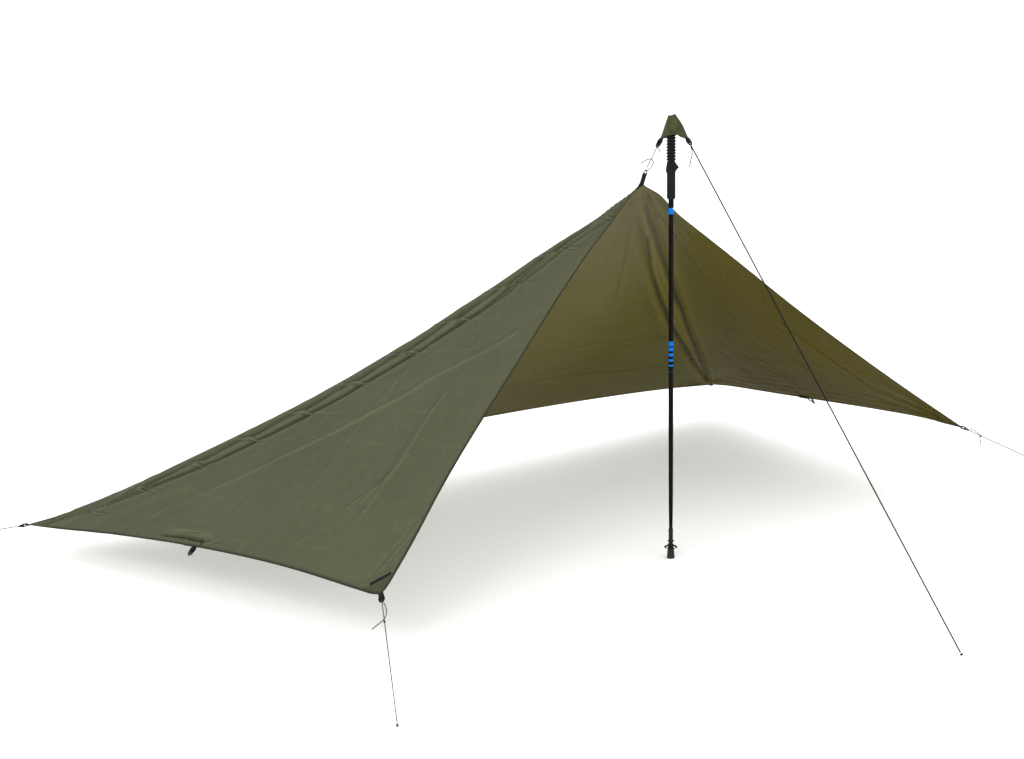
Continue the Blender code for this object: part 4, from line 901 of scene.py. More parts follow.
CORNERS = {
    "front_left": (FRONT_LEFT, PEG_FRONT_LEFT, N_LEFT, -1, 0),
    "front_right": (FRONT_RIGHT, PEG_FRONT_RIGHT, N_RIGHT, 1, 0),
    "rear_left": (REAR_LEFT, PEG_REAR_LEFT, -IN_L, -1, 1),
    "rear_right": (REAR_RIGHT, PEG_REAR_RIGHT, -IN_R, 1, 1),
}
NOSES = {}
BEND = LOOP_L - WEB_GAP / 2 - WEB_T
for key, (corner, peg, normal, _, _) in CORNERS.items():
    pull = (peg - corner).normalized()
    NOSES[key] = (corner + pull * (BEND + TEN_L), pull)
FRONT_SEAM = Vector((0, -0.0665, 1.2705))
REAR_SEAM = Vector((0, 0.0422, 1.2661))
APEX_PULL = Vector((0.0, -0.400, 0.917)).normalized()
APEX_NORMAL = Vector((0.0, 0.917, 0.400))
APEX_BEND = APEX + APEX_PULL * (APEX_LOOP_L - WEB_GAP / 2 - WEB_T)
RING_TOP = APEX_BEND + APEX_PULL * RING_H
GUY_PULL = (PEG_FRONT - FRONT_SEAM).normalized()
GUY_BEND = GUY_LOOP_L - WEB_GAP / 2 - WEB_T
GUY_NOSE = FRONT_SEAM + GUY_PULL * (0.0004 + GUY_BEND + TEN_L)
TIE_PULL = (RING_TOP - REAR_SEAM).normalized()
TIE_NOSE = REAR_SEAM + TIE_PULL * (0.0004 + BEND + TEN_L)

CORDS = {}


def guyline(key, nose, pull, peg, d, material, count):
    centre = peg + Vector((0, 0, KNOT_R))
    start = nose + pull * (GAP + 0.0001)
    way = (centre - start).normalized()
    end = centre - way * (KNOT_R + GAP)
    ob, path = cord_piece("guyline_" + key, straight(start, end, count), d, material, "cord_" + key)
    knot = knot_piece("guyline_knot_" + key, centre, KNOT_R, min(d / 2, 0.0014), material, "knot_" + key, axis=way)
    CORDS[key] = path


for key, (corner, peg, normal, _, _) in CORNERS.items():
    nose, pull = NOSES[key]
    guyline(key, nose, pull, peg, CORD_D, GREY, 14)
guyline("front_guy", GUY_NOSE, GUY_PULL, PEG_FRONT, GUY_D, DARK, 20)

tie_way = (RING_TOP - TIE_NOSE).normalized()
ob, path = cord_piece("apex_tie", straight(TIE_NOSE + tie_way * (GAP + 0.0002), RING_TOP - tie_way * 0.0030, 8), CORD_D, GREY, "cord_apex")


def tail(key, route, count, material=GREY, with_nodes=()):
    ob, path = cord_piece("cord_end_" + key, smooth_route(route, count), CORD_D, material, "tail_" + key)
    if length_of([Vector(p) for p in path]) < 0.031:
        return ob
    return ob


def hitch(name, nose, pull, along):
    """The tail's turn round its cord, drawn tight."""
    return knot_piece(name, nose + pull * along, 0.0040, 0.0011, GREY, None, axis=pull)


nose, pull = NOSES["front_left"]
across = (ACROSS - pull * ACROSS.dot(pull)).normalized()
side = (NEAR - pull * NEAR.dot(pull)).normalized()
FL_TAIL = [nose + pull * a + across * b + side * c for a, b, c in (
    (0.0014, 0.0028, 0.0), (0.009, 0.006, 0.001), (0.0315, 0.009, 0.0025), (0.048, 0.0075, 0.0035),
    (0.0625, 0.0015, 0.0042), (0.073, -0.009, 0.0030), (0.0815, -0.0215, 0.0015), (0.0905, -0.0335, 0.0))]
tail("front_left", FL_TAIL, 30, with_nodes=[hitch("hitch_knot_front_left", nose, pull, 0.069)])
nose, pull = NOSES["front_right"]
upward = (Vector((0, 0, 1)) - pull * pull.z).normalized()
FR_TAIL = [nose + pull * a + upward * b + NEAR * c for a, b, c in (
    (0.0014, 0.0032, 0.0), (0.006, 0.0062, 0.001), (0.012, 0.0073, 0.002), (0.023, 0.0065, 0.0034),
    (0.0365, 0.001, 0.0042), (0.042, -0.0075, 0.0038), (0.050, -0.019, 0.003), (0.0565, -0.0285, 0.003))]
tail("front_right", FR_TAIL, 28, with_nodes=[hitch("hitch_knot_front_right", nose, pull, 0.0435)])
tail("apex", [(-0.0026, 0.1045, 1.1745), (-0.0032, 0.0970, 1.1720), (-0.0034, 0.0870, 1.1780), (-0.0036, 0.0750, 1.1910), (-0.0036, 0.0712, 1.1985),
              (-0.0036, 0.0800, 1.2060), (-0.0030, 0.0935, 1.2055), (-0.0020, 0.1105, 1.2005), (0.0, 0.1305, 1.1915)], 32)
below = Vector((0, -TIE_PULL.z, TIE_PULL.y))
below = -below if below.z > 0 else below
tail("cap_rear", [TIE_NOSE + below * 0.0038 - TIE_PULL * 0.002, TIE_NOSE + below * 0.010, TIE_NOSE + below * 0.0165 + TIE_PULL * 0.001,
                  TIE_NOSE + below * 0.0205 + TIE_PULL * 0.006], 15)
tail("front_guy", [(-0.0036, -0.0835, 1.2493), (-0.0037, -0.0890, 1.2405), (-0.0040, -0.0905, 1.2310), (-0.0035, -0.0898, 1.2240), (-0.0020, -0.0842, 1.2110),
                   (0.0, -0.0761, 1.1895)], 16, DARK)


# ================================================================ canopy
def build_canopy():
    """One continuous sheet with its hem: an outer and an inner face a cloth's thickness apart."""
    fi = lines_with_hem(0, 2 * FINE)
    fj = lines_with_hem(0, FINE)
    I, J = np.meshgrid(fi, fj, indexing="ij")
    p = sample(SHEET, I, J)
    n = unit(sample(SHEET_N, I, J))
    tone = sample(TONE[..., None], I, J)[..., 0].reshape(-1)
    s, t = (I - FINE) * CELL, J * CELL
    edge = np.minimum(np.minimum(I, 2 * FINE - I), np.minimum(J, FINE - J)) * CELL
    half = np.interp(edge, [0, 0.0008, 0.0095, 0.0104], [0.00015, 0.00060, 0.00060, 0.00022])[..., None]
    ni, nj = I.shape
    base = ni * nj
    verts = np.vstack([(p + n * half).reshape(-1, 3), (p - n * half).reshape(-1, 3)])
    i, j = np.meshgrid(np.arange(ni - 1), np.arange(nj - 1), indexing="ij")
    a, b, c, d = (x.reshape(-1) for x in (i * nj + j, (i + 1) * nj + j, (i + 1) * nj + j + 1, i * nj + j + 1))
    outer = np.concatenate([np.stack([a, b, c], 1), np.stack([a, c, d], 1)])
    rim = np.array([k * nj for k in range(ni)] + [(ni - 1) * nj + k for k in range(1, nj)] + [k * nj + nj - 1 for k in range(ni - 2, -1, -1)]
                   + [k for k in range(nj - 2, 0, -1)])
    nxt = np.roll(rim, -1)
    band = np.concatenate([np.stack([base + rim, base + nxt, nxt], 1), np.stack([base + rim, nxt, rim], 1)])
    faces = np.concatenate([outer, outer[:, ::-1] + base, band])
    mats = np.concatenate([np.zeros(len(outer)), np.ones(len(outer)), np.zeros(len(band))]).astype(np.int32)
    flat = np.stack([s.reshape(-1), t.reshape(-1)], 1)
    uv = flat[faces.reshape(-1) % base]
    me = bpy.data.meshes.new("canopy_sheet")
    me.vertices.add(len(verts))
    me.vertices.foreach_set("co", verts.astype(np.float32).reshape(-1))
    me.loops.add(faces.size)
    me.loops.foreach_set("vertex_index", faces.astype(np.int32).reshape(-1))
    me.polygons.add(len(faces))
    me.polygons.foreach_set("loop_start", np.arange(0, faces.size, 3, dtype=np.int32))
    me.polygons.foreach_set("material_index", mats)
    me.uv_layers.new(name="flat").data.foreach_set("uv", uv.astype(np.float32).reshape(-1))
    # the crease attribute carries painted shade and painted highlight for the cloth's colour, reversed on the inner
    # face
    me.attributes.new("crease", "FLOAT", "POINT").data.foreach_set("value", np.concatenate([tone, 1 - tone]).astype(np.float32))
    for m in (CLOTH_OUT, CLOTH_IN):
        me.materials.append(m)
    me.update(calc_edges=True)
    me.validate()
    me.shade_smooth()
    me.set_sharp_from_angle(angle=math.radians(70))
    ob = bpy.data.objects.new("canopy_sheet", me)
    SCENE.collection.objects.link(ob)
    bm = bmesh.new()
    bm.from_mesh(me)
    volume = bm.calc_volume(signed=True)
    bm.free()
    if volume < 0:
        me.flip_normals()
    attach(ob, "canopy")
    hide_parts("canopy_left_wing", "canopy_rear_panel", "canopy_right_wing")
    return ob


CANOPY = build_canopy()


def lay_on(flat_rows, side, lift, thick, closed_uv=True):
    """A grid of flat points turned into a thin slab lying on the outer (side 1) or inner (side -1) face."""
    rows = np.asarray(flat_rows, float)             # (n, m, 2)
    n, m = rows.shape[:2]
    p, nor = surf(rows[..., 0], rows[..., 1])
    inner = p + nor * side * lift
    outer = p + nor * side * (lift + thick)
    verts = np.vstack([outer.reshape(-1, 3), inner.reshape(-1, 3)])
    base = n * m
    faces, uv = [], []
    flat = rows.reshape(-1, 2)

    def quad(a, b, c, d):
        faces.append((a, b, c, d))
        uv.extend(tuple(flat[x % base]) for x in (a, b, c, d))

    for i in range(n - 1):
        for j in range(m - 1):
            a, b, c, d = i * m + j, (i + 1) * m + j, (i + 1) * m + j + 1, i * m + j + 1
            if side > 0:
                quad(a, b, c, d)
                quad(base + d, base + c, base + b, base + a)
            else:
                quad(d, c, b, a)
                quad(base + a, base + b, base + c, base + d)
    rim = [i * m for i in range(n)] + [(n - 1) * m + j for j in range(1, m)] + [i * m + m - 1 for i in range(n - 2, -1, -1)] + [j for j in range(m - 2, 0, -1)]
    for a, b in zip(rim, rim[1:] + rim[:1]):
        if side > 0:
            quad(base + a, base + b, b, a)
        else:
            quad(a, b, base + b, base + a)
    return verts, faces, uv


def stitch_line(flat_pts, side, lift, pitch=0.0034, length=0.0024, wide=0.00045, high=0.00035):
    """Raised stitches along a flat line on the sheet."""
    pts = np.asarray(flat_pts, float)
    run = np.concatenate([[0], np.cumsum(np.linalg.norm(np.diff(pts, axis=0), axis=1))])
    verts, faces, uv = [], [], []
    for k in range(int(run[-1] / pitch)):
        a0 = k * pitch + 0.0004
        at = np.array([a0, a0 + length / 2, a0 + length])
        if at[-1] > run[-1]:
            break
        q = np.stack([np.interp(at, run, pts[:, c]) for c in range(2)], axis=1)
        p, n = surf(q[:, 0], q[:, 1])
        way = unit(p[-1] - p[0])
        for i, (lift_i, w) in enumerate(((lift, 0.5), (lift + high, 1.0), (lift, 0.5))):
            x = np.cross(way, n[i])
            base = len(verts)
            verts += [p[i] + n[i] * side * lift_i - x * wide * w, p[i] + n[i] * side * (lift_i + high * 0.7 * w), p[i] + n[i] * side * lift_i + x * wide * w]
        b = len(verts) - 9
        for i in range(2):
            a, c = b + 3 * i, b + 3 * (i + 1)
            for j in range(3):
                j2 = (j + 1) % 3
                faces.append((a + j, a + j2, c + j2, c + j))
                uv += [(0, 0), (0, 1), (1, 1), (1, 0)]
        faces.append((b, b + 2, b + 1))
        faces.append((b + 6, b + 7, b + 8))
        uv += [(0, 0)] * 6
    return verts, faces, uv


def triangle_rows(corner, a, b, steps=30, inset=0.0025):
    """Rows of flat points over the triangle corner-a-b."""
    mid = (np.array(corner) + np.array(a) + np.array(b)) / 3
    pull_in = lambda p: np.array(p) + (mid - np.array(p)) * inset / np.linalg.norm(mid - np.array(p))
    corner, a, b = pull_in(corner), pull_in(a), pull_in(b)
    rows = []
    for i in range(steps + 1):
        f = i / steps
        rows.append([corner * (1 - f) + (a * (1 - g) + b * g) * f for g in np.linspace(0, 1, steps + 1)])
    rows[0] = [corner + (rows[1][j] - corner) * 0.02 for j in range(steps + 1)]
    return rows


LEG, LIFT, PATCH_T = 0.108, 0.00095, 0.00030
W, D = HALF_WIDTH, DEPTH


def patch_piece(name, node, rows, outline):
    v, f, u = lay_on(rows, -1, LIFT, PATCH_T)
    parts = [(v, f, u, 0)]
    for line in outline:
        for side, lift in ((-1, LIFT + PATCH_T), (1, 0.00018)):
            sv, sf, su = stitch_line(line, side, lift)
            if sv:
                parts.append((sv, sf, su, 1))
    v, f, u, k = join(parts)
    ob = mesh_piece(name, v, f, [CLOTH_IN, THREAD], "canopy", u, k)
    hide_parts(node)
    return ob


def seg(a, b, count=24):
    return [np.array(a) + (np.array(b) - np.array(a)) * k / count for k in range(count + 1)]


E = 0.004
patch_piece("corner_patch_front_left", "patch_front_left", triangle_rows((-W, 0), (-W, LEG), (-W + LEG, 0)),
            [seg((-W + 0.012, LEG - 0.016), (-W + LEG - 0.016, 0.012)), seg((-W + 0.012, LEG - 0.020), (-W + LEG - 0.020, 0.012))])
patch_piece("corner_patch_front_right", "patch_front_right", triangle_rows((W, 0), (W - LEG, 0), (W, LEG)),
            [seg((W - 0.012, LEG - 0.016), (W - LEG + 0.016, 0.012)), seg((W - 0.012, LEG - 0.020), (W - LEG + 0.020, 0.012))])
patch_piece("corner_patch_rear_left", "patch_rear_left", triangle_rows((-W, D), (-W + LEG, D), (-W, D - LEG)),
            [seg((-W + LEG - 0.016, D - 0.012), (-W + 0.012, D - LEG + 0.016)), seg((-W + LEG - 0.020, D - 0.012), (-W + 0.012, D - LEG + 0.020))])
patch_piece("corner_patch_rear_right", "patch_rear_right", triangle_rows((W, D), (W, D - LEG), (W - LEG, D)),
            [seg((W - 0.012, D - LEG + 0.016), (W - LEG + 0.016, D - 0.012)), seg((W - 0.012, D - LEG + 0.020), (W - LEG + 0.020, D - 0.012))])


def apex_rows(radius=0.112, rings=26, spokes=72, inset=0.0025):
    rows = []
    for i in range(rings + 1):
        r = radius * max(i / rings, 0.02)
        rows.append([(r * math.cos(math.pi * k / spokes), inset + (r - inset) * math.sin(math.pi * k / spokes) if r > inset else inset + r * 0.02
                      * math.sin(math.pi * k / spokes)) for k in range(spokes + 1)])
    return rows


arc_at = lambda r, a0=0.14, a1=math.pi - 0.14, n=60: [(r * math.cos(a0 + (a1 - a0) * k / n), r * math.sin(a0 + (a1 - a0) * k / n)) for k in range(n + 1)]
patch_piece("apex_patch", "patch_apex", apex_rows(), [arc_at(0.107), arc_at(0.103)])


# bare woven tab sewn across the front left corner, stitched across at its ends, which are drawn flat rather than folded
# under
def label_piece():
    a, b = np.array((-W + 0.0240, 0.0560)), np.array((-W + 0.0655, 0.0145))
    across = np.array((1.0, 1.0)) / math.sqrt(2)
    rows = []
    for k in range(25):
        f = k / 24
        c = a + (b - a) * f
        rows.append([c + across * w for w in np.linspace(-0.0045, 0.0045, 7)])
    v, f, u = lay_on(rows, 1, 0.00025, 0.00055)
    parts = [(v, f, u, 0)]
    for w in (-0.0036, 0.0036):
        sv, sf, su = stitch_line([a + across * w, b + across * w], 1, 0.00080, 0.0022, 0.0015, 0.0003, 0.0002)
        parts.append((sv, sf, su, 1))
    for f in (0.03, 0.97):
        c = a + (b - a) * f
        sv, sf, su = stitch_line([c - across * 0.0036, c + across * 0.0036], 1, 0.00080, 0.0022, 0.0015, 0.0003, 0.0002)
        parts.append((sv, sf, su, 1))
    v, f, u, k = join(parts)
    ob = mesh_piece("corner_label_blank", v, f, [LABEL, THREAD], "canopy", u, k)
    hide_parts("corner_tab")


label_piece()


# ================================================================ webbing loops
def tape_section(width, thick):
    """A flat section with rounded edges, 12 points."""
    w, t = width / 2, thick / 2
    e = t * 0.9
    return np.array([(-w, 0), (-w + e * 0.4, t * 0.8), (-w + e * 1.6, t), (0, t), (w - e * 1.6, t), (w - e * 0.4, t * 0.8),
                     (w, 0), (w - e * 0.4, -t * 0.8), (w - e * 1.6, -t), (0, -t), (-w + e * 1.6, -t), (-w + e * 0.4, -t * 0.8)])


def loop_frame(root, pull, normal):
    x = Vector(pull).normalized()
    z = x.cross(Vector(normal)).normalized()
    y = z.cross(x).normalized()
    m = Matrix((x, y, z)).transposed().to_4x4()
    m.translation = root
    return m


def tape_uv(uv, width):
    """Face-corner UVs in metres: along the tape, and across it."""
    return [(u, abs(((v * 2) % 2) - 1) * width) for u, v in uv]


def webbing_piece(name, node, root, pull, normal, length=LOOP_L, width=WEB_W, base_in=None, base_out=None, strip=None):
    """A loop of tape, with its sewn ends laid on the cloth. base_in and base_out are flat lines from the edge inward; a strip covers them inside the hem."""
    m = loop_frame(root, pull, normal)
    t = 0.00135
    off = WEB_GAP / 2 + WEB_T / 2
    x1 = length - WEB_GAP / 2 - WEB_T
    z = np.array(m.col[2][:3])
    legs = []
    lower = [m @ Vector((x, -off * min(1.0, 0.25 + x / 0.006), 0)) for x in np.linspace(0.0010, x1, 6)]
    bend = [m @ Vector((x1 + off * math.cos(a), off * math.sin(a), 0)) for a in np.linspace(-math.pi / 2, math.pi / 2, 9)[1:-1]]
    upper = [m @ Vector((x, off * min(1.0, 0.25 + x / 0.006), 0)) for x in np.linspace(x1, 0.0010, 6)]
    if base_out is None:
        upper.append(m @ Vector((-0.0030, -0.0001, 0)))
    pts = [np.array(p) for p in lower + bend + upper]
    ws = [z] * len(pts)
    sew = []

    def base(line, side):
        line = np.asarray(line, float)
        p, n = surf(line[:, 0], line[:, 1])
        lift = 0.0010 if side < 0 else 0.00075
        p = p + n * side * (lift + t / 2)
        zz = z[None] - n * np.sum(n * z[None], axis=1, keepdims=True)
        sew.append((line, side, lift + t))
        return list(p), list(unit(zz))

    up = Vector(normal)
    if base_in is not None:
        p, w = base(base_in[::-1], -1)
        pts, ws = p + pts, w + ws
    if base_out is not None:
        p, w = base(base_out, 1)
        pts, ws = pts + p, ws + w
    pts, ws = np.array(pts), np.array(ws)
    run = np.concatenate([[0], np.cumsum(np.linalg.norm(np.diff(pts, axis=0), axis=1))])
    count = max(int(run[-1] / 0.0016), 20)
    at = np.linspace(0, run[-1], count)
    dense = np.array([tuple(q) for q in smooth_route(pts, count)])
    wd = np.stack([np.interp(at, run, ws[:, k]) for k in range(3)], axis=1)
    v, f, u = sweep_arrays(dense, tape_section(width, t), wd)
    parts = [(v, f, tape_uv(u, width), 0)]
    for line, side, lift in sew:
        if len(line) < 3:
            continue
        a, b = line[0], line[-1]
        d = unit(b - a)
        x = np.array((-d[1], d[0]))
        h = width / 2 - 0.0020
        i0, i1 = 0.003, np.linalg.norm(b - a) - 0.0015
        box = [a + d * i0 + x * h, a + d * i1 + x * h, a + d * i1 - x * h, a + d * i0 - x * h, a + d * i0 + x * h]
        cross = [[a + d * i0 + x * h, a + d * i1 - x * h], [a + d * i0 - x * h, a + d * i1 + x * h]]
        for pl in [box] + cross:
            sv, sf, su = stitch_line(pl, side, lift - 0.0001, 0.0022, 0.0016, 0.00028, 0.00022)
            if sv:
                parts.append((sv, sf, su, 1))
    if strip is not None:
        s0, t0 = strip
        if abs(s0) > 1:
            at = lambda x, y: (s0 - math.copysign(y, s0), t0 + x)
        else:
            at = lambda x, y: (s0 + x, t0 - y)
        rows = [[at(x, y) for y in np.linspace(0.0012, 0.0142, 6)] for x in np.linspace(-0.008, 0.052, 22)]
        v, f, u = lay_on(rows, -1, 0.0021, 0.0012)
        parts.append((v, f, [(a, b) for a, b in u], 0))
        for y in (0.0030, 0.0124):
            sv, sf, su = stitch_line([at(-0.006, y), at(0.050, y)], -1, 0.0032, 0.0022, 0.0016, 0.00028, 0.00022)
            parts.append((sv, sf, su, 1))
    v, f, u, k = join(parts)
    ob = mesh_piece(name, v, f, [WEBBING, THREAD], "canopy", u, k)
    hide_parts(node)
    return m @ Vector((x1, 0, 0))


def inward_line(s, t, ds, dt, length, count=9, start=0.0015):
    d = np.array((ds, dt), float)
    d /= np.linalg.norm(d)
    return np.array([(s, t)]) + d[None] * np.linspace(start, length, count)[:, None]


# ---------------------------------------------------------------- tensioners
def outline_curve(name, loops, half, bevel, material, matrix):
    cu = bpy.data.curves.new(name, "CURVE")
    cu.dimensions = "2D"
    cu.fill_mode = "BOTH"
    cu.extrude = half - bevel
    cu.bevel_depth = bevel
    cu.bevel_resolution = 2
    cu.offset = -bevel
    for loop in loops:
        sp = cu.splines.new("POLY")
        sp.points.add(len(loop) - 1)
        for pt, (x, y) in zip(sp.points, loop):
            pt.co = (x, y, 0.0, 1.0)
        sp.use_cyclic_u = True
    ob = bpy.data.objects.new(name, cu)
    SCENE.collection.objects.link(ob)
    ob.matrix_world = matrix
    bpy.context.view_layer.update()
    me = bpy.data.meshes.new_from_object(ob.evaluated_get(bpy.context.evaluated_depsgraph_get()))
    bpy.data.objects.remove(ob)
    me.transform(matrix)
    me.name = name
    me.materials.clear()
    me.materials.append(material)
    bm = bmesh.new()
    bm.from_mesh(me)
    bmesh.ops.remove_doubles(bm, verts=bm.verts, dist=0.00001)
    bmesh.ops.recalc_face_normals(bm, faces=bm.faces)
    bm.to_mesh(me)
    bm.free()
    me.shade_smooth()
    me.set_sharp_from_angle(angle=math.radians(35))
    ob = bpy.data.objects.new(name, me)
    SCENE.collection.objects.link(ob)
    return ob


def rounded(loop, r, steps=4):
    """Corners of a closed outline rounded off."""
    out = []
    n = len(loop)
    for k in range(n):
        p0, p1, p2 = (np.array(loop[(k + i) % n], float) for i in (-1, 0, 1))
        a, b = p0 - p1, p2 - p1
        c = min(r, np.linalg.norm(a) * 0.45, np.linalg.norm(b) * 0.45)
        a, b = p1 + a / np.linalg.norm(a) * c, p1 + b / np.linalg.norm(b) * c
        for i in range(steps + 1):
            f = i / steps
            out.append(tuple((a * (1 - f) + p1 * f) * (1 - f) + (p1 * (1 - f) + b * f) * f))
    return out


def tensioner_piece(name, node, bar, pull, normal, body="canopy"):
    """A moulded cord tensioner: a frame with a bar for the tape, an eye with teeth and raised rails."""
    x = Vector(pull).normalized()
    y = x.cross(Vector(normal)).normalized()
    z = x.cross(y).normalized()
    m = Matrix((x, y, z)).transposed().to_4x4()
    m.translation = bar
    b, w = TEN_BAR, TEN_W
    outer = rounded([(-b, -w), (0.0085, -w), (TEN_L, -0.0040), (TEN_L, 0.0040), (0.0085, w), (-b, w)], 0.0022)
    slot = rounded([(b, -0.0073), (0.0056, -0.0073), (0.0056, 0.0073), (b, 0.0073)], 0.0010)
    teeth = [(0.0110, 0.0040), (0.0110, -0.0040), (0.0082, -0.0046)] + [
        (0.0082 + (0.0006 if k % 2 else 0.0), -0.0046 + 0.0092 * k / 8) for k in range(1, 8)] + [(0.0082, 0.0046)]
    ob = outline_curve(name, [outer, slot, teeth], TEN_T / 2 * 0.78, 0.0005, PLASTIC, m)
    rail_o = rounded([(0.0064, -0.0079), (0.0082, -0.0079), (0.0146, -0.0034), (0.0146, 0.0034), (0.0082, 0.0079), (0.0064, 0.0079)], 0.0016)
    rail_i = rounded([(0.0074, -0.0062), (0.0086, -0.0062), (0.0126, -0.0030), (0.0126, 0.0030), (0.0086, 0.0062), (0.0074, 0.0062)], 0.0010)
    rail = outline_curve(name + "_rails", [rail_o, rail_i], TEN_T / 2, 0.0003, PLASTIC, m)
    for o in (ob, rail):
        o.data.uv_layers.new(name="flat")
        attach(o, body)
    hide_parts(node)
    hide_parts(node)


def turn(v, axis, degrees):
    return Matrix.Rotation(math.radians(degrees), 3, Vector(axis)) @ Vector(v)


for key, (corner, peg, normal, ss, tt) in CORNERS.items():
    pull = (peg - corner).normalized()
    cs, ct = ss * W, tt * D
    webbing_piece("loop_" + key, "webbing_" + key, corner, pull, normal, base_in=inward_line(cs, ct, -ss, 1 if tt == 0 else -1, 0.042))
    tensioner_piece("line_lock_" + key, "tensioner_" + key, corner + pull * BEND, pull, normal)


for key, (s, t, ds, dt), normal, lean, forward, way_in in (
    ("left", (-W, 0.735, 0, 0.1), N_LEFT, 0.0, 0.0, (1, 0)),
    ("right", (W, 0.805, 0, 0.1), N_RIGHT, 20.0, 0.35, (-1, 0)),
    ("rear", (0.0, D, 0.1, 0), N_REAR, 42.0, 0.0, (0, -1)),
):
    p = cad_point(s, t)
    along = (cad_point(s + ds, t + dt) - cad_point(s - ds, t - dt)).normalized()
    out = along.cross(normal).normalized()
    if out.dot(p - cad_point(s * 0.9, 0.75 if key != "rear" else 1.2)) < 0:
        out = -out
    out = (out - along * forward).normalized()
    p = p + out * (WEB_W / 2 * forward)
    webbing_piece("loop_mid_" + key, "webbing_mid_" + key, p, out, normal, base_in=inward_line(s, t, *way_in, 0.010, 4), strip=(s, t))
    bar = loop_frame(p, out, normal).col[2].to_3d()
    way = turn(out, bar, lean)
    if way.z > out.z:
        way = turn(out, bar, -lean)
    tensioner_piece("line_lock_mid_" + key, "tensioner_mid_" + key, p + out * BEND, way, way.cross(bar), "swing_mid_" + key)

webbing_piece("loop_apex", "webbing_apex", APEX, APEX_PULL, APEX_NORMAL, APEX_LOOP_L, APEX_WEB_W,
              base_in=inward_line(0, 0, 0, 1, 0.050), base_out=inward_line(0, 0, 0, 1, 0.026))


# ---------------------------------------------------------------- apex ring
def ring_piece():
    half = RING_W / 2
    shape = rounded([(-half, 0), (half, 0), (0, RING_H)], 0.0042, 8)
    x = Vector((1, 0, 0))
    pts = np.array([tuple(APEX_BEND + x * a + APEX_PULL * b) for a, b in shape])
    keep = [0]
    for k in range(1, len(pts)):
        if np.linalg.norm(pts[k] - pts[keep[-1]]) > 0.0004:
            keep.append(k)
    pts = pts[keep]
    loop = np.vstack([pts, pts[:1]])
    run = np.concatenate([[0], np.cumsum(np.linalg.norm(np.diff(loop, axis=0), axis=1))])
    at = np.linspace(0, run[-1], 61)[:-1]
    pts = np.stack([np.interp(at, run, loop[:, k]) for k in range(3)], axis=1)
    a = 2 * np.pi * np.arange(14) / 14
    r = RING_WIRE / 2
    across = np.array(x.cross(APEX_PULL))
    v, f, u = sweep_arrays(pts, np.stack([r * np.cos(a), r * np.sin(a)], axis=1), np.repeat(across[None], len(pts), axis=0), cyclic=True)
    ob = mesh_piece("apex_triangle_ring", v, f, [RING], "canopy", u)
    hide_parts("apex_ring")


ring_piece()

# ================================================================ pole cap
CAP_REAR = ((0.0422, 1.2661), (0.0383, 1.2737), (0.0273, 1.2947), (0.0197, 1.3126), (0.0114, 1.3339))
CAP_FRONT = ((-0.0665, 1.2705), (-0.0585, 1.2838), (-0.0452, 1.3051), (-0.0307, 1.3227), (-0.0149, 1.3389))
CAP_LOWER = ((0.0, 1.2661), (0.09, 1.2689), (0.26, 1.2757), (0.39, 1.2773), (0.55, 1.2791), (0.65, 1.2814), (0.78, 1.2803), (0.86, 1.2774),
             (0.93, 1.2695), (1.0, 1.2705))


def cap_half(z):
    zs, hs = (1.260, 1.290, 1.306, 1.316, 1.326, 1.3370), (0.0170, 0.0168, 0.0158, 0.0126, 0.0072, 0.0016)
    return np.interp(z, zs, hs)


def smooth_interp(x, xs, ys):
    """np.interp with its corners rounded."""
    w = 0.06
    return sum(np.interp(x + d, xs, ys) for d in np.linspace(-w, w, 7)) / 7


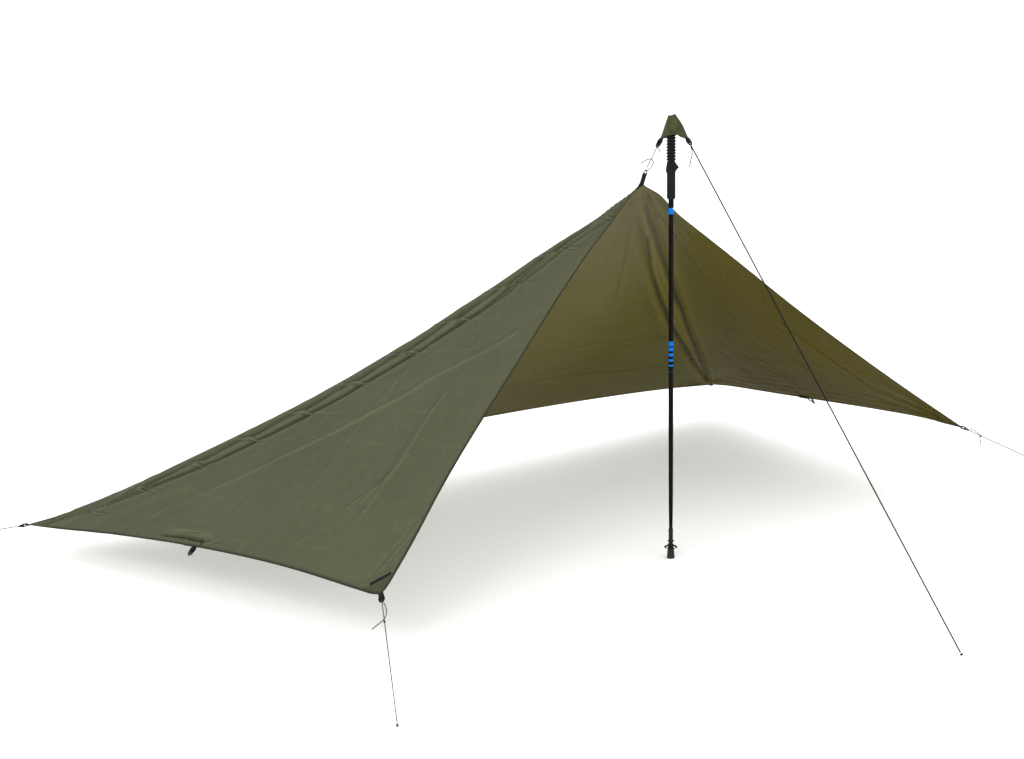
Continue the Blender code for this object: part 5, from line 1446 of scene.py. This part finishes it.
def build_cap():
    """A sewn pouch: two halves joined by raised seams, a folded hem below, a flat seam on top."""
    around, levels = 128, 40
    ang = 2 * np.pi * np.arange(around) / around
    c, s = np.cos(ang), np.sin(ang)
    share = (1 - c) / 2
    low = np.interp(share, [q[0] for q in CAP_LOWER], [q[1] for q in CAP_LOWER])
    mix = smooth_interp(share, [q[0] for q in CAP_LOWER], [q[1] for q in CAP_LOWER])
    low = np.where((share > 0.03) & (share < 0.97), mix, low)
    high = CAP_REAR[-1][1] + (CAP_FRONT[-1][1] - CAP_REAR[-1][1]) * share - 0.0012 * np.sin(np.pi * share)
    fs = np.concatenate([[0, 0.015], np.linspace(0.03, 0.97, levels - 3), [0.985, 1.0]])
    rows, uvs = [], []
    for f in fs:
        z = low + (high - low) * f
        yr = np.interp(z, [q[1] for q in CAP_REAR], [q[0] for q in CAP_REAR])
        yf = np.interp(z, [q[1] for q in CAP_FRONT], [q[0] for q in CAP_FRONT])
        y = (yr + yf) / 2 + (yr - yf) / 2 * c
        x = cap_half(z) * np.sign(s) * np.abs(s) ** 0.9
        # drapes: soft dents between the grip and the seams, and folds that run up from the lower corners
        dent = 0.0012 * np.sin(share * 21 + 5 * f + 1.0 * np.sign(s)) * np.sin(np.pi * share) * np.sin(np.pi * min(f * 1.2, 1.0))
        fold = 0.0014 * np.exp(-((share - 0.87 + 0.35 * f) / 0.035) ** 2) * np.exp(-(f / 0.6) ** 2)
        fold += 0.0011 * np.exp(-((share - 0.12 - 0.30 * f) / 0.04) ** 2) * np.exp(-(f / 0.6) ** 2)
        x = x + np.sign(s) * (dent + fold)
        rows.append(np.stack([x, y, z], axis=1))
        uvs.append(np.stack([np.sign(s) * share * 0.11, np.full(around, f * 0.068)], axis=1))
    p = np.array(rows)                                   # (levels, around, 3)
    nl = len(fs)
    da = np.roll(p, -1, axis=1) - np.roll(p, 1, axis=1)
    dz = np.gradient(p, axis=0)
    n = unit(np.cross(da, dz))
    centre = np.array((0, -0.012, 1.30))
    if np.sum((p - centre) * n) < 0:
        n = -n
    # seams stand proud at the front and the rear, the hem and the top seam are thicker
    seam = np.exp(-((np.minimum(ang, 2 * np.pi - ang)) / 0.10) ** 2) + np.exp(-((ang - np.pi) / 0.10) ** 2)
    hem = np.clip((0.13 - fs) / 0.015, 0, 1)[:, None]
    top = np.clip((fs - 0.93) / 0.01, 0, 1)[:, None]
    thick = 0.0004 + 0.0005 * hem + 0.0005 * top + 0.0007 * seam[None]
    thick = thick * np.where((fs < 0.01) | (fs > 0.99), 0.4, 1.0)[:, None]
    outer, inner = p + n * thick[..., None], p - n * 0.0002
    verts = np.vstack([outer.reshape(-1, 3), inner.reshape(-1, 3)])
    base = nl * around
    faces, uv, mats = [], [], []
    U = np.array(uvs)
    flat = U.reshape(-1, 2)

    def quad(a, b, cc, d, k):
        faces.append((a, b, cc, d))
        uv.extend(tuple(flat[x % base]) for x in (a, b, cc, d))
        mats.append(k)

    for i in range(nl - 1):
        for j in range(around):
            j2 = (j + 1) % around
            a, b, cc, d = i * around + j, i * around + j2, (i + 1) * around + j2, (i + 1) * around + j
            quad(a, b, cc, d, 0)
            quad(base + d, base + cc, base + b, base + a, 0)
    for j in range(around):
        j2 = (j + 1) % around
        quad(base + j, base + j2, j2, j, 0)
    # closed along the top: each side meets the other
    top0 = (nl - 1) * around
    for off, flip in ((0, False), (base, True)):
        for j in range(around // 2):
            a, b = top0 + off + j, top0 + off + j + 1
            cc, d = top0 + off + (around - j - 1) % around, top0 + off + (around - j) % around
            ring = [a, b, cc, d]
            ring = [x for k, x in enumerate(ring) if x not in ring[:k]]
            if len(ring) < 3:
                continue
            if flip:
                ring = ring[::-1]
            faces.append(tuple(ring))
            uv.extend(tuple(flat[x % base]) for x in ring)
            mats.append(0)
    # stitches along the seams and the hem
    parts = [(verts, faces, uv, 0)]

    def stitches(line_i, line_j, pitch=0.0030, length=0.0021):
        idx = np.array([i * around + (j % around) for i, j in zip(line_i, line_j)])
        pts, nn = outer.reshape(-1, 3)[idx], n.reshape(-1, 3)[idx]
        run = np.concatenate([[0], np.cumsum(np.linalg.norm(np.diff(pts, axis=0), axis=1))])
        k = 0
        while (k + 1) * pitch < run[-1]:
            at = np.array([k * pitch, k * pitch + length])
            q = np.stack([np.interp(at, run, pts[:, c]) for c in range(3)], axis=1)
            m = unit(np.stack([np.interp(at, run, nn[:, c]) for c in range(3)], axis=1))
            mid, mm = q.mean(0), unit(m.mean(0))
            path = np.array([q[0], mid + mm * 0.00025, q[1]])
            a = 2 * np.pi * np.arange(5) / 5
            v, f, u = sweep_arrays(path, np.stack([0.00022 * np.cos(a), 0.00022 * np.sin(a)], axis=1), np.repeat(np.cross(unit(q[1] - q[0]), mm)[None], 3, axis=0))
            parts.append((v, f, u, 1))
            k += 1

    lv = list(range(2, nl - 2))
    for j in (5, around - 5, around // 2 - 5, around // 2 + 5):
        stitches(lv, [j] * len(lv))
    level = int(np.argmin(np.abs(fs - 0.10)))
    stitches([level] * (around + 1), range(around + 1))
    level = int(np.argmin(np.abs(fs - 0.945)))
    stitches([level] * (around + 1), range(around + 1))
    v, f, u, k = join(parts)
    ob = mesh_piece("cap_pouch", v, f, [CLOTH_CAP, THREAD], "canopy", u, k, sharp=60)
    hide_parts("pole_cap")


def cap_material():
    n = Nodes("cloth_cap", (0.050, 0.052, 0.021), 0.66, spec=0.12)
    u, v, _ = n.split(n.uv("flat"))
    yarn = 0.00045
    weave = n.math("MULTIPLY", n.math("SINE", n.math("MULTIPLY", u, 2 * math.pi / yarn)), n.math("SINE", n.math("MULTIPLY", v, 2 * math.pi / yarn)))
    rib = 0.0050
    gx = n.ramp(n.math("ABSOLUTE", n.math("SUBTRACT", n.math("FRACT", n.math("DIVIDE", u, rib)), 0.5)), 0.42, 0.48)
    gy = n.ramp(n.math("ABSOLUTE", n.math("SUBTRACT", n.math("FRACT", n.math("DIVIDE", v, rib)), 0.5)), 0.42, 0.48)
    grid = n.math("MAXIMUM", gx, gy)
    broad = n.noise(40.0, 4.0, 0.6)
    colour = n.mix(n.ramp(broad, 0.3, 0.7), (0.034, 0.036, 0.014), (0.064, 0.066, 0.027))
    colour = n.mix(n.math("MULTIPLY", grid, 0.12), colour, (0.085, 0.088, 0.040))
    z = n.split(n.coords.outputs["Object"])[2]
    colour = n.mix(n.ramp(z, 1.330, 1.3385, 0.0, 0.7), colour, (0.018, 0.019, 0.008))
    n.colour(colour)
    n.rough(n.ramp(broad, 0.2, 0.8, 0.60, 0.72))
    b = n.bump(n.math("ADD", n.math("MULTIPLY", weave, 0.5), grid), 0.00005, 0.6)
    n.normal(n.bump(n.noise(90.0, 5.0, 0.6), 0.0007, 0.6, b))
    return n.m


CLOTH_CAP = cap_material()
build_cap()


def free_loop(name, node, root, pull, normal, inward, length=LOOP_L):
    """A loop sewn into the cap's seam: its legs run back up the seam by 'inward'."""
    m = loop_frame(root, pull, normal)
    t, off, x1 = 0.00135, WEB_GAP / 2 + WEB_T / 2, length - WEB_GAP / 2 - WEB_T
    pts = [(-inward, -0.0008), (-inward * 0.5, -0.0009), (0.0, -0.0012), (0.004, -off * 0.8)] + [(x, -off) for x in np.linspace(0.0068, x1, 4)]
    pts += [(x1 + off * math.cos(a), off * math.sin(a)) for a in np.linspace(-math.pi / 2, math.pi / 2, 9)[1:-1]]
    pts += [(x, off) for x in np.linspace(x1, 0.0068, 4)] + [(0.004, off * 0.8), (0.0, 0.0012), (-inward * 0.5, 0.0009), (-inward, 0.0008)]
    route = [m @ Vector((x, y, 0)) for x, y in pts]
    count = 60
    dense = np.array([tuple(q) for q in smooth_route(route, count)])
    z = np.array(m.col[2][:3])
    v, f, u = sweep_arrays(dense, tape_section(WEB_W, t), np.repeat(z[None], count, axis=0))
    ob = mesh_piece(name, v, f, [WEBBING], "canopy", tape_uv(u, WEB_W))
    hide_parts(node)


X = Vector((1, 0, 0))
free_loop("loop_cap_front", "webbing_cap_front", FRONT_SEAM + GUY_PULL * 0.0004, GUY_PULL, X.cross(GUY_PULL), 0.004, GUY_LOOP_L)
tensioner_piece("line_lock_cap_front", "tensioner_cap_front", FRONT_SEAM + GUY_PULL * (0.0004 + GUY_BEND), GUY_PULL, X.cross(GUY_PULL))
free_loop("loop_cap_rear", "webbing_cap_rear", REAR_SEAM + TIE_PULL * 0.0004, TIE_PULL, X.cross(TIE_PULL), 0.004)
tensioner_piece("line_lock_cap_rear", "tensioner_cap_rear", REAR_SEAM + TIE_PULL * (0.0004 + BEND), TIE_PULL, X.cross(TIE_PULL))


# ================================================================ pole
def lathe(name, node, profile, material, body, around=64, closed=True, matrix=None):
    """A profile of (radius, height) turned about Z; a radius of 0 at both ends closes it on the axis."""
    prof = np.array(profile, float)
    ang = 2 * np.pi * np.arange(around) / around
    verts, index = [], []
    for r, z in prof:
        if r < 1e-7:
            index.append([len(verts)] * around)
            verts.append((0, 0, z))
        else:
            index.append(list(range(len(verts), len(verts) + around)))
            verts += [(r * math.cos(a), r * math.sin(a), z) for a in ang]
    faces, uv = [], []
    rows = len(prof) if closed else len(prof) - 1
    run = np.concatenate([[0], np.cumsum(np.linalg.norm(np.diff(prof, axis=0), axis=1))])
    for i in range(rows):
        i2 = (i + 1) % len(prof)
        u0, u1 = run[i], run[i] + np.linalg.norm(prof[i2] - prof[i])
        for j in range(around):
            j2 = (j + 1) % around
            ring = [(index[i][j], (u0, j / around)), (index[i2][j], (u1, j / around)), (index[i2][j2], (u1, (j + 1) / around)),
                    (index[i][j2], (u0, (j + 1) / around))]
            seen, keep = set(), []
            for v, w in ring:
                if v not in seen:
                    seen.add(v)
                    keep.append((v, w))
            if len(keep) > 2:
                faces.append(tuple(v for v, _ in keep))
                uv += [w for _, w in keep]
    if matrix is not None:
        verts = [tuple(matrix @ Vector(v)) for v in verts]
    ob = mesh_piece(name, verts, faces, [material], None, uv, sharp=38)
    bm = bmesh.new()
    bm.from_mesh(ob.data)
    if bm.calc_volume(signed=True) < 0:
        ob.data.flip_normals()
    bm.free()
    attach(ob, body)
    if node:
        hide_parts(node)
    return ob


SHAFT_R, BORE_R, SHAFT_TIP_R = 0.0071, 0.0063, 0.0053
Z_JOINT, Z_TAPER, Z_FERRULE, FOOT_H = 0.5780, 0.3700, 0.0931, 0.0320
C = 0.0003
lathe("pole_upper_shaft", "upper_shaft", [(SHAFT_R - C, 1.130), (SHAFT_R, 1.130 - C), (SHAFT_R, Z_JOINT + GAP + C), (SHAFT_R - C, Z_JOINT + GAP), (BORE_R, Z_JOINT + GAP),
                                          (BORE_R, 1.130)], SHAFT, "pole_shaft")
lathe("pole_outer_tube", "outer_tube", [(0.0077, 1.2994), (0.0077, 1.0715), (0.0073, 1.0715), (0.0073, 1.2994)], TUBE, "pole_handle")
taper = [(0.37, 0.0071), (0.36, 0.00708), (0.34, 0.00700), (0.215, 0.0066), (0.150, 0.0062), (0.110, 0.0056), (0.094, 0.0053), (0.0560, 0.0053)]
lathe("pole_lower_shaft", "lower_shaft", [(SHAFT_R - C, Z_JOINT), (SHAFT_R, Z_JOINT - C)] + [(r, z) for z, r in taper] + [(0.0040, 0.0560), (0.0040, 0.094),
      (0.0048, 0.150), (0.0058, Z_TAPER), (BORE_R, Z_JOINT - 0.060), (BORE_R, Z_JOINT)], LOWER, "pole_lower")


def carry(node, material):
    ob = NODES[node]
    ob.data.materials.clear()
    ob.data.materials.append(material)
    if not ob.data.uv_layers:
        ob.data.uv_layers.new(name="flat")
    ob.data.shade_smooth()
    ob.data.set_sharp_from_angle(angle=math.radians(35))


carry("shaft_collar", BAND)
carry("release_button", BUTTON)
carry("shaft_spigot", ALLOY)
carry("steel_tip", STEEL)
carry("inner_cord", GREY)

lathe("ferrule", "tip_ferrule", [(0, 0.0556), (SHAFT_TIP_R + 0.0003, 0.0556), (SHAFT_TIP_R + 0.0003, Z_FERRULE), (0.0064, Z_FERRULE), (0.0066, Z_FERRULE - 0.0004),
                                 (0.0070, Z_FERRULE - 0.003), (0.00685, 0.0840), (0.00685, 0.0836), (0.0067, 0.0832), (0.0067, 0.0610), (0.0070, 0.0580),
                                 (0.0078, 0.0562), (0.0095, 0.0552), (0.0098, 0.0547), (0.0098, 0.0533), (0.0095, 0.0526), (0.0070, 0.0516), (0.0060, 0.0505),
                                 (0.0056, 0.0480), (0.0056, 0.0330), (0.0044, 0.0310), (0.0044, 0.0188), (0.0025, 0.0188), (0.0025, 0.0268), (0, 0.0268)],
      PLASTIC, "pole_lower", closed=False)


def build_foot():
    """The rubber foot: a cup with a waist, a rolled foot and grooves round it."""
    prof = [(0, 0.0090), (0.0048, 0.0090), (0.0048, 0.0180), (0.0062, 0.0180), (0.0062, FOOT_H - 0.0004), (0.0094, FOOT_H - 0.0004), (0.0098, FOOT_H - 0.0008),
            (0.0100, FOOT_H - 0.0016), (0.0102, FOOT_H - 0.0050), (0.0098, FOOT_H - 0.0054), (0.0098, FOOT_H - 0.0066), (0.0103, FOOT_H - 0.0070),
            (0.0107, 0.0150), (0.0110, 0.0090), (0.0112, 0.0070), (0.0116, 0.0050), (0.0119, 0.0036), (0.0119, 0.0012), (0.0115, 0.0004), (0.0108, 0.0), (0, 0.0)]
    lathe("foot_rubber", "rubber_foot", prof, RUBBER, "rubber_foot", closed=False)


build_foot()


def build_basket():
    """A small trekking basket: a hub, eight arms and a rim that dips between them."""
    parts = []
    k = 96
    a = 2 * np.pi * np.arange(k) / k
    rim = np.stack([0.0188 * np.cos(a), 0.0188 * np.sin(a), 0.0350 + 0.0006 * np.cos(8 * a)], axis=1)
    radial = np.stack([np.cos(a), np.sin(a), 0 * a], axis=1)
    sec = np.array([(-0.0015, -0.0004), (-0.0011, 0.0008), (0.0006, 0.0010), (0.0016, 0.0002), (0.0016, -0.0004), (0.0006, -0.0010), (-0.0011, -0.0010)])
    v, f, u = sweep_arrays(rim, sec, radial, cyclic=True)
    parts.append((v, f, u, 0))
    for i in range(8):
        b = 2 * math.pi * (i + 0.5) / 8
        out = np.array((math.cos(b), math.sin(b), 0.0))
        side = np.array((-math.sin(b), math.cos(b), 0.0))
        fs = np.linspace(0, 1, 7)
        path = np.array([out * (0.0074 + 0.0114 * x) + np.array((0, 0, 0.0402 - 0.0046 * x ** 1.6)) for x in fs])
        sec = np.array([[(w * (0.0030 - 0.0012 * x), h) for w, h in ((-1, -0.0007), (-0.8, 0.0009), (0.8, 0.0009), (1, -0.0007), (0, -0.0011))] for x in fs])
        v, f, u = sweep_arrays(path, sec, np.repeat(side[None], 7, axis=0))
        parts.append((v, f, u, 0))
    hub = [(0.0062, 0.0455), (0.0078, 0.0455), (0.0084, 0.0450), (0.0088, 0.0438), (0.0088, 0.0352), (0.0084, 0.0346), (0.0062, 0.0346)]
    around = 48
    verts, faces, uv = [], [], []
    for r, z in hub:
        verts += [(r * math.cos(2 * math.pi * j / around), r * math.sin(2 * math.pi * j / around), z) for j in range(around)]
    for i in range(len(hub)):
        i2 = (i + 1) % len(hub)
        for j in range(around):
            j2 = (j + 1) % around
            faces.append((i * around + j, i2 * around + j, i2 * around + j2, i * around + j2))
            uv += [(i * 0.002, j / around), (i * 0.002 + 0.002, j / around), (i * 0.002 + 0.002, (j + 1) / around), (i * 0.002, (j + 1) / around)]
    parts.append((verts, faces, uv, 0))
    v, f, u, m = join(parts)
    ob = mesh_piece("snow_basket", v, f, [PLASTIC], None, u, m, sharp=40)
    bm = bmesh.new()
    bm.from_mesh(ob.data)
    bmesh.ops.recalc_face_normals(bm, faces=bm.faces)
    bm.to_mesh(ob.data)
    bm.free()
    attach(ob, "pole_lower")
    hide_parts("basket")


build_basket()

Z_GRIP, Z_SLEEVE, GRIP_BORE, RIB_PITCH, RIBS, CHEVRON, GRIP_R = (1.1668, 1.3010), (1.0936, 1.1665), 0.0080, 0.0087, 11, 0.0035, (0.0110, 0.0148)


def build_grip():
    """Chevron ribs over a flange that runs out to a beak on one side."""
    g0, g1 = Z_GRIP
    around = 80
    valley, crest = GRIP_R
    ang = 2 * np.pi * np.arange(around) / around
    drop = CHEVRON * (1 - np.abs(np.cos(ang)))
    low = g1 - 0.0010 - RIBS * RIB_PITCH
    zs = np.concatenate([[g1], np.arange(g1 - 0.0006, 1.1990, -0.00055), np.arange(1.1985, g0 + 0.0006, -0.0010), [g0 + 0.0004, g0]])
    fz = (1.1668, 1.1700, 1.1745, 1.1800, 1.1845, 1.1862, 1.1900, 1.1940, 1.1985, 1.2020)
    away = (0.0125, 0.0138, 0.0153, 0.0156, 0.0150, 0.0147, 0.0140, 0.0132, 0.0125, 0.0118)
    at = (0.0125, 0.0128, 0.0140, 0.0176, 0.0222, 0.0222, 0.0195, 0.0163, 0.0135, 0.0120)
    w = ((1 + np.cos(ang)) / 2) ** 2.2
    rows = []
    for z in zs:
        phase = (g1 - 0.0010 - (z + drop)) / RIB_PITCH
        f = phase - np.floor(phase)
        tooth = np.clip(1 - np.abs(f - 0.48) / 0.40, 0, 1) ** 0.85
        inside = (phase > 0) & (phase < RIBS)
        r = valley + (crest - valley) * np.where(inside, tooth, 0)
        fl = np.interp(z, fz, away) * (1 - w) + np.interp(z, fz, at) * w
        blend = np.clip((z - 1.1985) / 0.003, 0, 1)
        r = np.where(z < 1.2020, np.maximum(fl, r * blend), r)
        if z > g1 - 0.0004 or z < g0 + 0.0002:
            r = r - 0.0004
        rows.append(np.stack([r, np.full(around, z)], axis=1))
    rows.append(np.stack([np.full(around, GRIP_BORE), np.full(around, g0)], axis=1))
    rows.append(np.stack([np.full(around, GRIP_BORE), np.full(around, g1)], axis=1))
    beak = math.atan2(OUT.y, OUT.x)
    verts = [(r * math.cos(a + beak), r * math.sin(a + beak), z) for row in rows for (r, z), a in zip(row, ang)]
    n = len(rows)
    faces, uv = [], []
    for i in range(n):
        i2 = (i + 1) % n
        for j in range(around):
            j2 = (j + 1) % around
            faces.append((i * around + j, i2 * around + j, i2 * around + j2, i * around + j2))
            uv += [(i * 0.0006, j / around), (i2 * 0.0006, j / around), (i2 * 0.0006, (j + 1) / around), (i * 0.0006, (j + 1) / around)]
    ob = mesh_piece("grip_foam", verts, faces, [FOAM], None, uv, sharp=50)
    bm = bmesh.new()
    bm.from_mesh(ob.data)
    if bm.calc_volume(signed=True) < 0:
        ob.data.flip_normals()
    bm.free()
    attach(ob, "pole_handle")
    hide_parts("grip")


build_grip()
S0, S1 = Z_SLEEVE
lathe("grip_sleeve_foam", "grip_sleeve", [(0.0121, S1), (0.0125, S1 - 0.0006), (0.0125, S0 + 0.0060), (0.0123, S0 + 0.0035), (0.0118, S0 + 0.0015), (0.0110, S0 + 0.0004),
                                          (0.0101, S0), (GRIP_BORE, S0), (GRIP_BORE, S1)], FOAM, "pole_handle")
H0, H1 = 1.3014, 1.3180
lathe("grip_head_cap", "grip_head", [(0, H1), (0.0035, H1 - 0.0003), (0.0065, H1 - 0.0014), (0.0095, H1 - 0.0035), (0.0117, H1 - 0.0065), (0.0130, H1 - 0.0100),
                                     (0.0134, H0 + 0.0030), (0.0134, H0 + 0.0012), (0.0130, H0), (0, H0)], PLASTIC, "pole_handle", closed=False)


# ================================================================ floor and light
def floor_material():
    n = Nodes("floor_pale", (0.93, 0.93, 0.93), 0.85, spec=0.15)
    n.colour(n.mix(n.ramp(n.noise(1.7, 3.0), 0.3, 0.7), (0.92, 0.92, 0.92), (0.94, 0.94, 0.94)))
    n.rough(n.ramp(n.noise(60.0, 3.0), 0.3, 0.7, 0.82, 0.9))
    n.p.inputs["Emission Color"].default_value = (1.0, 1.0, 1.0, 1)
    n.p.inputs["Emission Strength"].default_value = 0.39
    return n.m


me = bpy.data.meshes.new("floor")
B = 30.0
me.from_pydata([(-B, -B, -0.0003), (B, -B, -0.0003), (B, B, -0.0003), (-B, B, -0.0003)], [], [(0, 1, 2, 3)])
me.materials.append(floor_material())
floor = bpy.data.objects.new("floor", me)
SCENE.collection.objects.link(floor)

world = bpy.data.worlds.new("studio")
SCENE.world = world
world.use_nodes = True
bg = world.node_tree.nodes["Background"]
bg.inputs["Color"].default_value = (1.0, 1.0, 1.0, 1)
bg.inputs["Strength"].default_value = 1.10


def area(name, at, towards, size, power):
    data = bpy.data.lights.new(name, "AREA")
    data.shape = "RECTANGLE"
    data.size, data.size_y = size
    data.energy = power
    ob = bpy.data.objects.new(name, data)
    SCENE.collection.objects.link(ob)
    way = (Vector(towards) - Vector(at)).normalized()
    ob.matrix_world = Matrix.Translation(at) @ way.to_track_quat("-Z", "Y").to_matrix().to_4x4()


area("softbox_left", (-3.3, -1.3, 2.3), (-1.2, 0.1, 0.2), (1.3, 1.0), 30)
area("softbox_front", (-1.0, -5.2, 1.0), (0.2, 0.6, 0.1), (4.5, 1.6), 28)
SCENE.view_settings.view_transform = "Standard"
SCENE.view_settings.look = "None"
